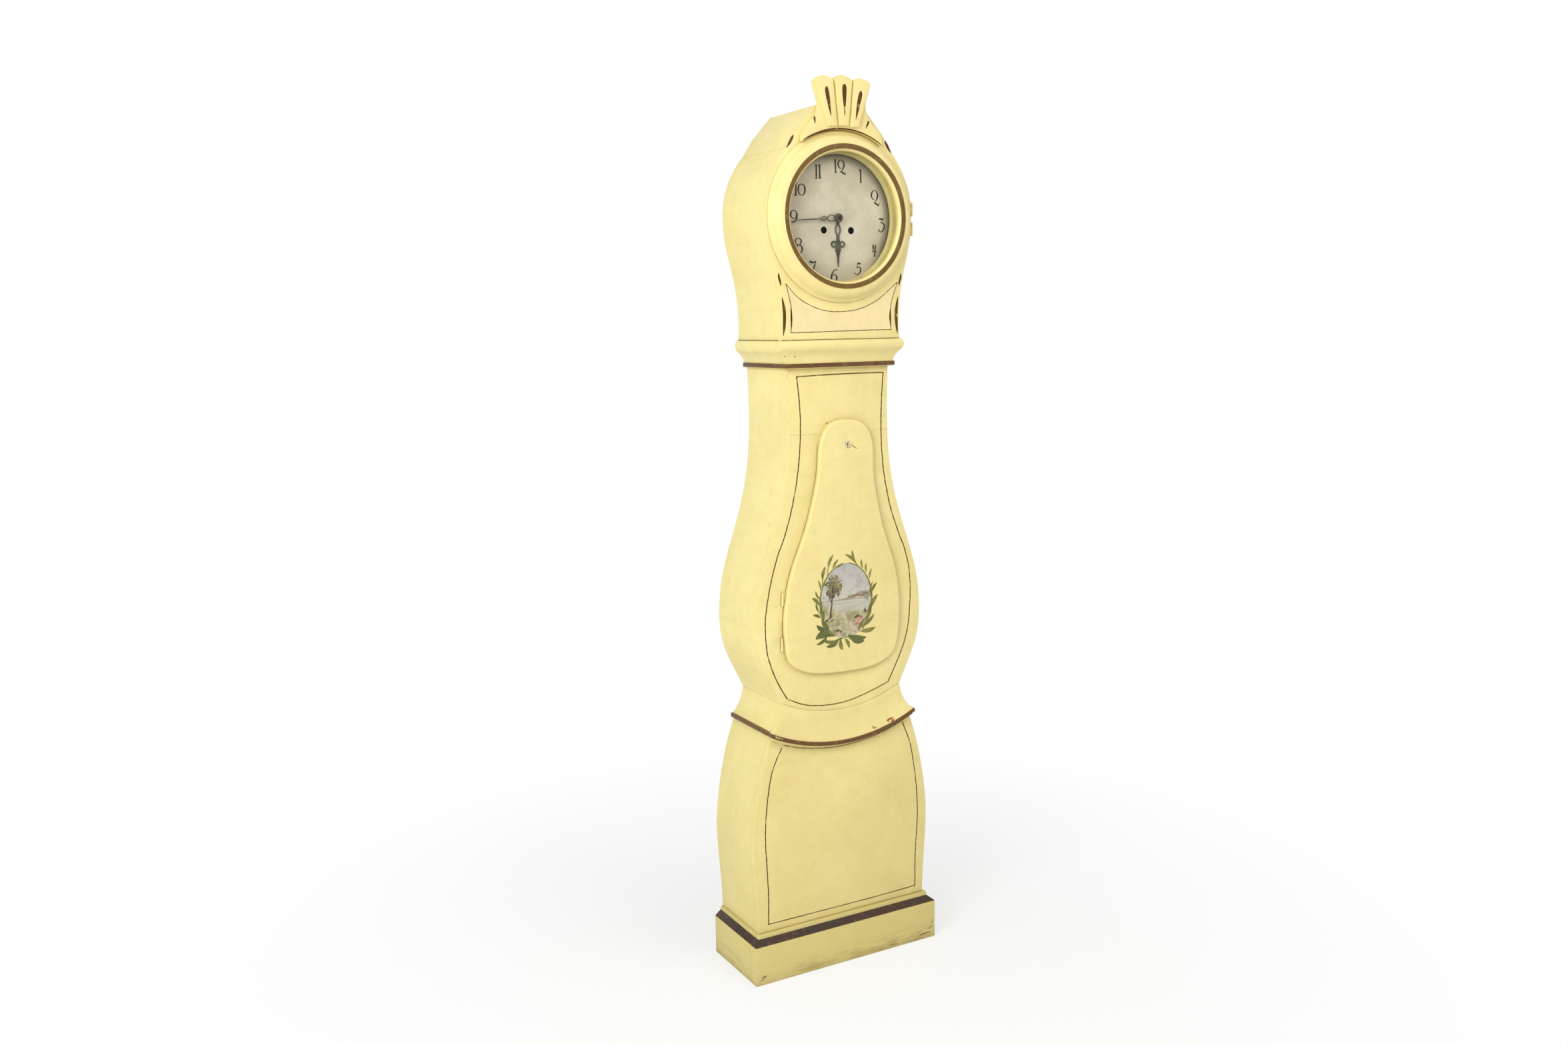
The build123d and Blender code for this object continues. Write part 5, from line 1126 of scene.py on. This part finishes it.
def cluster(seed, centre, spread, count, length, width, lean=90.0, loose=60.0):
    """Dabs scattered over a round patch, closer together in its middle."""
    hand = Random(seed)
    dabs = []
    for _ in range(count):
        turn, reach = hand.uniform(0, 2 * pi), hand.random() ** 0.7
        size = hand.uniform(0.6, 1.3)
        dabs.append(
            dab(
                centre[0] + cos(turn) * reach * spread[0], centre[1] + sin(turn) * reach * spread[1],
                length * size, width * size, lean + hand.uniform(-loose, loose)))
    return dabs


def clusters(*rows):
    """Dabs of several patches together."""
    return [one for row in rows for one in cluster(*row)]


# %% Tree on the bank
trunk = [
    pressed([(-35, 843), (-34, 858), (-31, 875), (-30, 892), (-27, 908)], [5.5, 4.2, 3.4, 2.8, 1.6]),
    pressed([(-31, 878), (-38, 893), (-42, 907)], [2.4, 1.8, 1.0]),
    pressed([(-30, 888), (-20, 901), (-14, 914)], [2.2, 1.6, 1.0]),
    pressed([(-36, 846), (-42, 841), (-48, 840)], [2.6, 1.8, 0.8])]
bark = leaf_paint("Bark paint", (74, 58, 46), (112, 88, 68))
shade_dabs = clusters((3, (-27, 915), (21, 24), 60, 6.5, 3.6), (4, (-36, 900), (14, 12), 20, 5.5, 3.2))
mid_dabs = clusters((5, (-25, 920), (22, 23), 66, 5.5, 3.0), (6, (-15, 908), (12, 11), 20, 5, 2.6))
light_dabs = clusters((7, (-21, 927), (18, 18), 44, 4.2, 2.0), (8, (-38, 906), (9, 8), 10, 4, 1.8))
shade_paint = leaf_paint("Foliage shade", (70, 62, 44), (98, 84, 58))
mid_paint = leaf_paint("Foliage olive", (104, 98, 56), (136, 122, 76))
light_paint = leaf_paint("Foliage light", (150, 136, 88), (178, 160, 110))
for name, dabs, paint, lift in (
        ("trunk", trunk, bark, 0.0002), ("tree_shade", shade_dabs, shade_paint, 0.00024),
        ("tree_olive", mid_dabs, mid_paint, 0.00032), ("tree_light", light_dabs, light_paint, 0.0004)):
    painted_strokes("landscape_" + name, dabs, ON_DOOR, paint, lift=lift)

# %% Farm, bushes and flowers
far_trees = clusters(
    (11, (22, 889), (9, 3.5), 16, 3.6, 2.2), (12, (60, 891), (8, 5), 18, 4.2, 2.4),
    (13, (64, 880), (6, 4), 8, 3.4, 2.0))
walls = [
    pressed([(33, 885.4), (38, 885.6), (45, 885.4)], [5.0, 5.4, 5.0], 3),
    pressed([(49, 884.6), (55, 884.6)], [3.6, 3.6], 3)]
roofs = [
    pressed([(31.5, 889.6), (38.5, 890.8), (46.5, 889.6)], [1.6, 4.2, 1.6], 3),
    pressed([(47.5, 887.2), (52, 888.2), (56.5, 887.2)], [1.4, 2.8, 1.4], 3)]
low_bushes = clusters(
    (14, (40, 836), (13, 7), 34, 4.8, 2.8), (15, (-14, 812), (11, 5), 18, 4.2, 2.4),
    (16, (60, 850), (6, 6), 12, 4.2, 2.4), (17, (-36, 838), (14, 4), 16, 4.0, 2.2))
blossoms = clusters(
    (18, (42, 829), (13, 9), 30, 4.2, 3.6, 0, 90), (19, (-16, 808), (8, 4), 9, 3.0, 2.2, 0, 90))
pale_blossoms = cluster(20, (40, 832), (11, 7), 16, 2.4, 1.8, 0, 90)
grass_blades = clusters(
    (21, (-4, 826), (40, 12), 34, 4.5, 0.9, 90, 24), (22, (24, 806), (26, 8), 20, 4, 0.8, 90, 24))
roof_paint = leaf_paint("Roof red", (124, 80, 62), (150, 104, 80))
wall_paint = leaf_paint("Wall grey", (176, 162, 140), (200, 186, 160))
rose_paint = leaf_paint("Blossom pink", (176, 112, 92), (206, 152, 130))
pale_paint = leaf_paint("Blossom pale", (214, 186, 162), (226, 206, 182))
haze_paint = leaf_paint("Far trees", (112, 98, 76), (140, 122, 94))
for name, dabs, paint, relief, lift in (
        ("far_trees", far_trees, haze_paint, 0.05, 0.0002), ("walls", walls, wall_paint, 0.04, 0.00026),
        ("roofs", roofs, roof_paint, 0.04, 0.0003), ("bushes", low_bushes, shade_paint, 0.05, 0.0002),
        ("grass", grass_blades, mid_paint, 0.08, 0.00018), ("blossoms", blossoms, rose_paint, 0.05, 0.0003),
        ("pale_blossoms", pale_blossoms, pale_paint, 0.05, 0.00036)):
    painted_strokes("landscape_" + name, dabs, ON_DOOR, paint, flat=relief, lift=lift)
print("dabs in the landscape:", len(shade_dabs + mid_dabs + light_dabs + far_trees + low_bushes + blossoms))

# %% [markdown]
# ## Knocks, chips and nails
# Small damage tells the age of the clock: brick-red primer where the brown band was knocked, bare wood at a
# corner, scratched paint round the keyhole, filled nail holes and a board joint that shows through the
# paint.

# %% Chips on the mouldings
primer = leaf_paint("Red primer", (128, 62, 34), (166, 96, 56))
bare_chip = leaf_paint("Chipped wood", (196, 166, 116), (222, 200, 150))
# Line paint for dirt marks, also used for the painted shadow in the hood seam.
dirt_and_seam_shadow_line = line_paint("Dirt and seam shadow", (74, 60, 40), (110, 92, 62), 0.1)
faint_line = line_paint("Joint under paint", (172, 150, 100), (196, 174, 120), 0.6)
smile_piece = bpy.data.objects["mid_moulding_front_painted"]
red_chips = [
    dab(129, 577, 20, 4.5, 12), dab(135, 573, 12, 3.5, 24), dab(84, 563, 11, 3.0, 8),
    dab(80, 566, 5, 2.2, 60), dab(122, 573, 7, 3.0, 150)]
drop_on(painted_strokes("moulding_red_chips", red_chips, AHEAD, primer), smile_piece)
corner_chips = [dab(-186, 588, 9, 4, 75), dab(-180, 583.5, 10, 2.6, 160), dab(-172, 580, 7, 1.8, 160)]
drop_on(painted_strokes("moulding_corner_chips", corner_chips, AHEAD, bare_chip), smile_piece)

# %% Keyhole and door
keyhole_chips = [
    dab(20, 1249, 9, 2.6, 25), dab(25.5, 1242, 8, 2.8, 60), dab(14, 1239, 6, 2.2, 130),
    dab(29, 1246, 5, 1.6, 20)]
keyhole_smears = [
    dab(30, 1239, 16, 1.4, -28), dab(37, 1234, 15, 1.0, -24), dab(21, 1236.5, 9, 1.6, -12),
    dab(11, 1246, 4, 1.8, 80)]
door_chips = [dab(-39, 1294, 11, 1.8, 26), dab(-29, 1297, 7, 1.2, 14)]
painted_strokes("keyhole_chips", keyhole_chips, ON_DOOR, bare_chip)
painted_strokes("keyhole_smears", keyhole_smears, ON_DOOR, dirt_and_seam_shadow_line)
painted_strokes("door_corner_chips", door_chips, ON_DOOR, dirt_and_seam_shadow_line)

# %% Painted shadow and dirt in the gap round the door
door_shape = BVHTree.FromObject(
    bpy.data.objects["waist_door_painted"], bpy.context.evaluated_depsgraph_get())
door_middle = DOOR_FACE + 0.004


def door_side(height):
    """Left edge of the door at a height in mm, in mm."""
    return door_shape.ray_cast(Vector((-1, door_middle, height / 1000)), Vector((1, 0, 0)))[0].x * 1000


def door_foot(across):
    """Lower edge of the door at a place across in mm, in mm."""
    return door_shape.ray_cast(Vector((across / 1000, door_middle, 0.6)), Vector((0, 0, 1)))[0].z * 1000


# A dark line along the door's left edge and foot: painted shadow in the gap, and dirt.
left_gap = [(door_side(height) - 0.7, height) for height in range(1270, 739, -30)]
foot_gap = [(across, door_foot(across) - 0.7) for across in range(-100, 101, 25)]
gap_shadow_and_dirt_paint = line_paint("Painted shadow and dirt in the door gap", (112, 78, 34), (146, 112, 60), 0.5)
gaps = [
    pressed(left_gap, [0.5] + [1.0] * 5 + [1.7] * 11 + [0.9], 5),
    pressed(foot_gap, [0.7] + [1.2] * 7 + [0.5], 5)]
painted_strokes("door_gap_shadow_and_dirt", gaps, ON_BASE, gap_shadow_and_dirt_paint, flat=0.1)

# %% Joints, painted shadow in the hood seam, scuffs and nails
joints = [
    pull([(-129, 1271), (-90, 1269.5), (-55, 1268.5)], 0.6, shake=0.5),
    pull([(93, 1270.5), (113, 1271.5), (134, 1271)], 0.6, shake=0.5)]
painted_strokes("waist_joint", joints, ON_BASE, faint_line)
# A dark line along the hood's foot is painted shadow in the seam above the collar.
seam_shadow_front = [pull([(-155.6, 1480.9), (0, 1480.9), (155.6, 1480.9)], 1.5, shake=0.15, ends=1.0)]
painted_strokes("hood_seam_shadow_front", seam_shadow_front, ON_HOOD, dirt_and_seam_shadow_line, flat=0.1)
plinth_scuffs = [
    dab(128, 9, 30, 1.4, -3), dab(222, 14, 36, 2.6, 3), dab(238, 26, 14, 1.6, 30),
    dab(206, 21, 16, 1.2, 12), dab(-232, 20, 14, 3.0, 10), dab(-236, 14, 16, 1.4, 20),
    dab(244, 40, 10, 1.6, 70)]
painted_strokes("plinth_scuffs", plinth_scuffs, ON_PLINTH, dirt_and_seam_shadow_line, flat=0.03)
nails = [dab(-146, 1446, 3, 2.4, 20), dab(-120, 1445, 4, 2.2, 20)]
collar_piece = bpy.data.objects["collar_front_painted"]
drop_on(painted_strokes("collar_nails", nails, AHEAD, dirt_and_seam_shadow_line), collar_piece)
print(
    "marks of age:",
    len(red_chips + corner_chips + keyhole_chips + keyhole_smears + door_chips + joints + nails))

# %% [markdown]
# ## Floor, light and camera
# The clock stands on a plain pale floor against white. A large soft lamp on the left lights the side of the
# case, a weaker one on the right opens the shadows, and an even sky fills the rest, so that paint shows at
# its own tone. Away from the clock the floor runs out into the white of the background.

# %% Floor
def seen_directly():
    """1 for rays from the camera, a mirror or a pane, and 0 for the light that falls on things."""
    rays = add_node("ShaderNodeLightPath").outputs
    through = maths("MAXIMUM", rays["Is Glossy Ray"], rays["Is Transmission Ray"])
    return maths("MAXIMUM", rays["Is Camera Ray"], through)


floor_material, shader, place = start_material("Pale floor")
shade = noise(place, 1.2, 3.0)
graph.links.new(blend(shade, (250, 249, 246), (245, 244, 240)), shader.inputs["Base Color"])
shader.inputs["Roughness"].default_value = 0.85
seen = seen_directly()
away = vector_maths("LENGTH", place)
white = add_node("ShaderNodeEmission", {"Strength": 1.0})
fade = times(seen, remap(away, 0.4, 1.6, 0.62, 1.0))
faded = add_node("ShaderNodeMixShader", {0: fade, 1: shader.outputs[0], 2: white.outputs[0]})
graph.links.new(faded.outputs[0], graph.nodes["Material Output"].inputs["Surface"])
floor_mesh = bpy.data.meshes.new("floor")
corners = [(-9, -9, 0), (9, -9, 0), (9, 9, 0), (-9, 9, 0)]
floor_mesh.from_pydata(corners, [], [(0, 1, 2, 3)])
floor_mesh.materials.append(floor_material)
floor = link_object("floor", floor_mesh)

# %% White background
world = bpy.data.worlds.new("Studio")
bpy.context.scene.world = world
world.use_nodes = True
work_on(world.node_tree)
background = graph.nodes["Background"]
seen = seen_directly()
graph.links.new(blend(seen, (0.80, 0.82, 0.85, 1.0), (1.0, 1.0, 1.0, 1.0)), background.inputs["Color"])
graph.links.new(remap(seen, 0.0, 1.0, 0.62, 1.0), background.inputs["Strength"])

# %% Lamps


def lamp(name, place, target, size, power, tint):
    """Soft square lamp aimed at a point."""
    light = bpy.data.lights.new(name, "AREA")
    light.size = size
    light.energy = power
    light.color = tint
    made = link_object(name, light)
    made.location = place
    made.rotation_euler = (Vector(target) - Vector(place)).to_track_quat("-Z", "Y").to_euler()


lamp("key", (-3.3, -1.9, 2.7), (0, 0, 1.3), 2.2, 112.0, (0.94, 1.0, 0.985))
lamp("fill", (1.3, -3.1, 3.9), (0, 0, 1.2), 2.2, 49.0, (1.0, 0.96, 0.945))
print("lamps:", len(bpy.data.lights))

# %% [markdown]
# The camera stands to the clock's left at head height and looks slightly down, with a fairly wide lens.

# %% Camera
LOOK_YAW, LOOK_PITCH, LOOK_ROLL = 0.512289, -0.148548, -0.016355
EYE = (-1.603, -2.671, 1.520)
SENSOR_WIDTH = 36.0
FOCAL_PIXELS, FRAME_PIXELS = 2005.2, 2352
ahead = Vector((sin(LOOK_YAW) * cos(LOOK_PITCH), cos(LOOK_YAW) * cos(LOOK_PITCH), sin(LOOK_PITCH)))
level = Vector((cos(LOOK_YAW), -sin(LOOK_YAW), 0.0))
over_head = level.cross(ahead)
right = cos(LOOK_ROLL) * level + sin(LOOK_ROLL) * over_head
top = -sin(LOOK_ROLL) * level + cos(LOOK_ROLL) * over_head
camera_data = bpy.data.cameras.new("camera")
camera_data.sensor_width = SENSOR_WIDTH
camera_data.lens = FOCAL_PIXELS / FRAME_PIXELS * SENSOR_WIDTH
camera = link_object("camera", camera_data)
turn_rows = Matrix((right, top, -ahead)).transposed()
camera.matrix_world = Matrix.Translation(EYE) @ turn_rows.to_4x4()
bpy.context.scene.camera = camera
bpy.context.scene.view_settings.view_transform = "Standard"
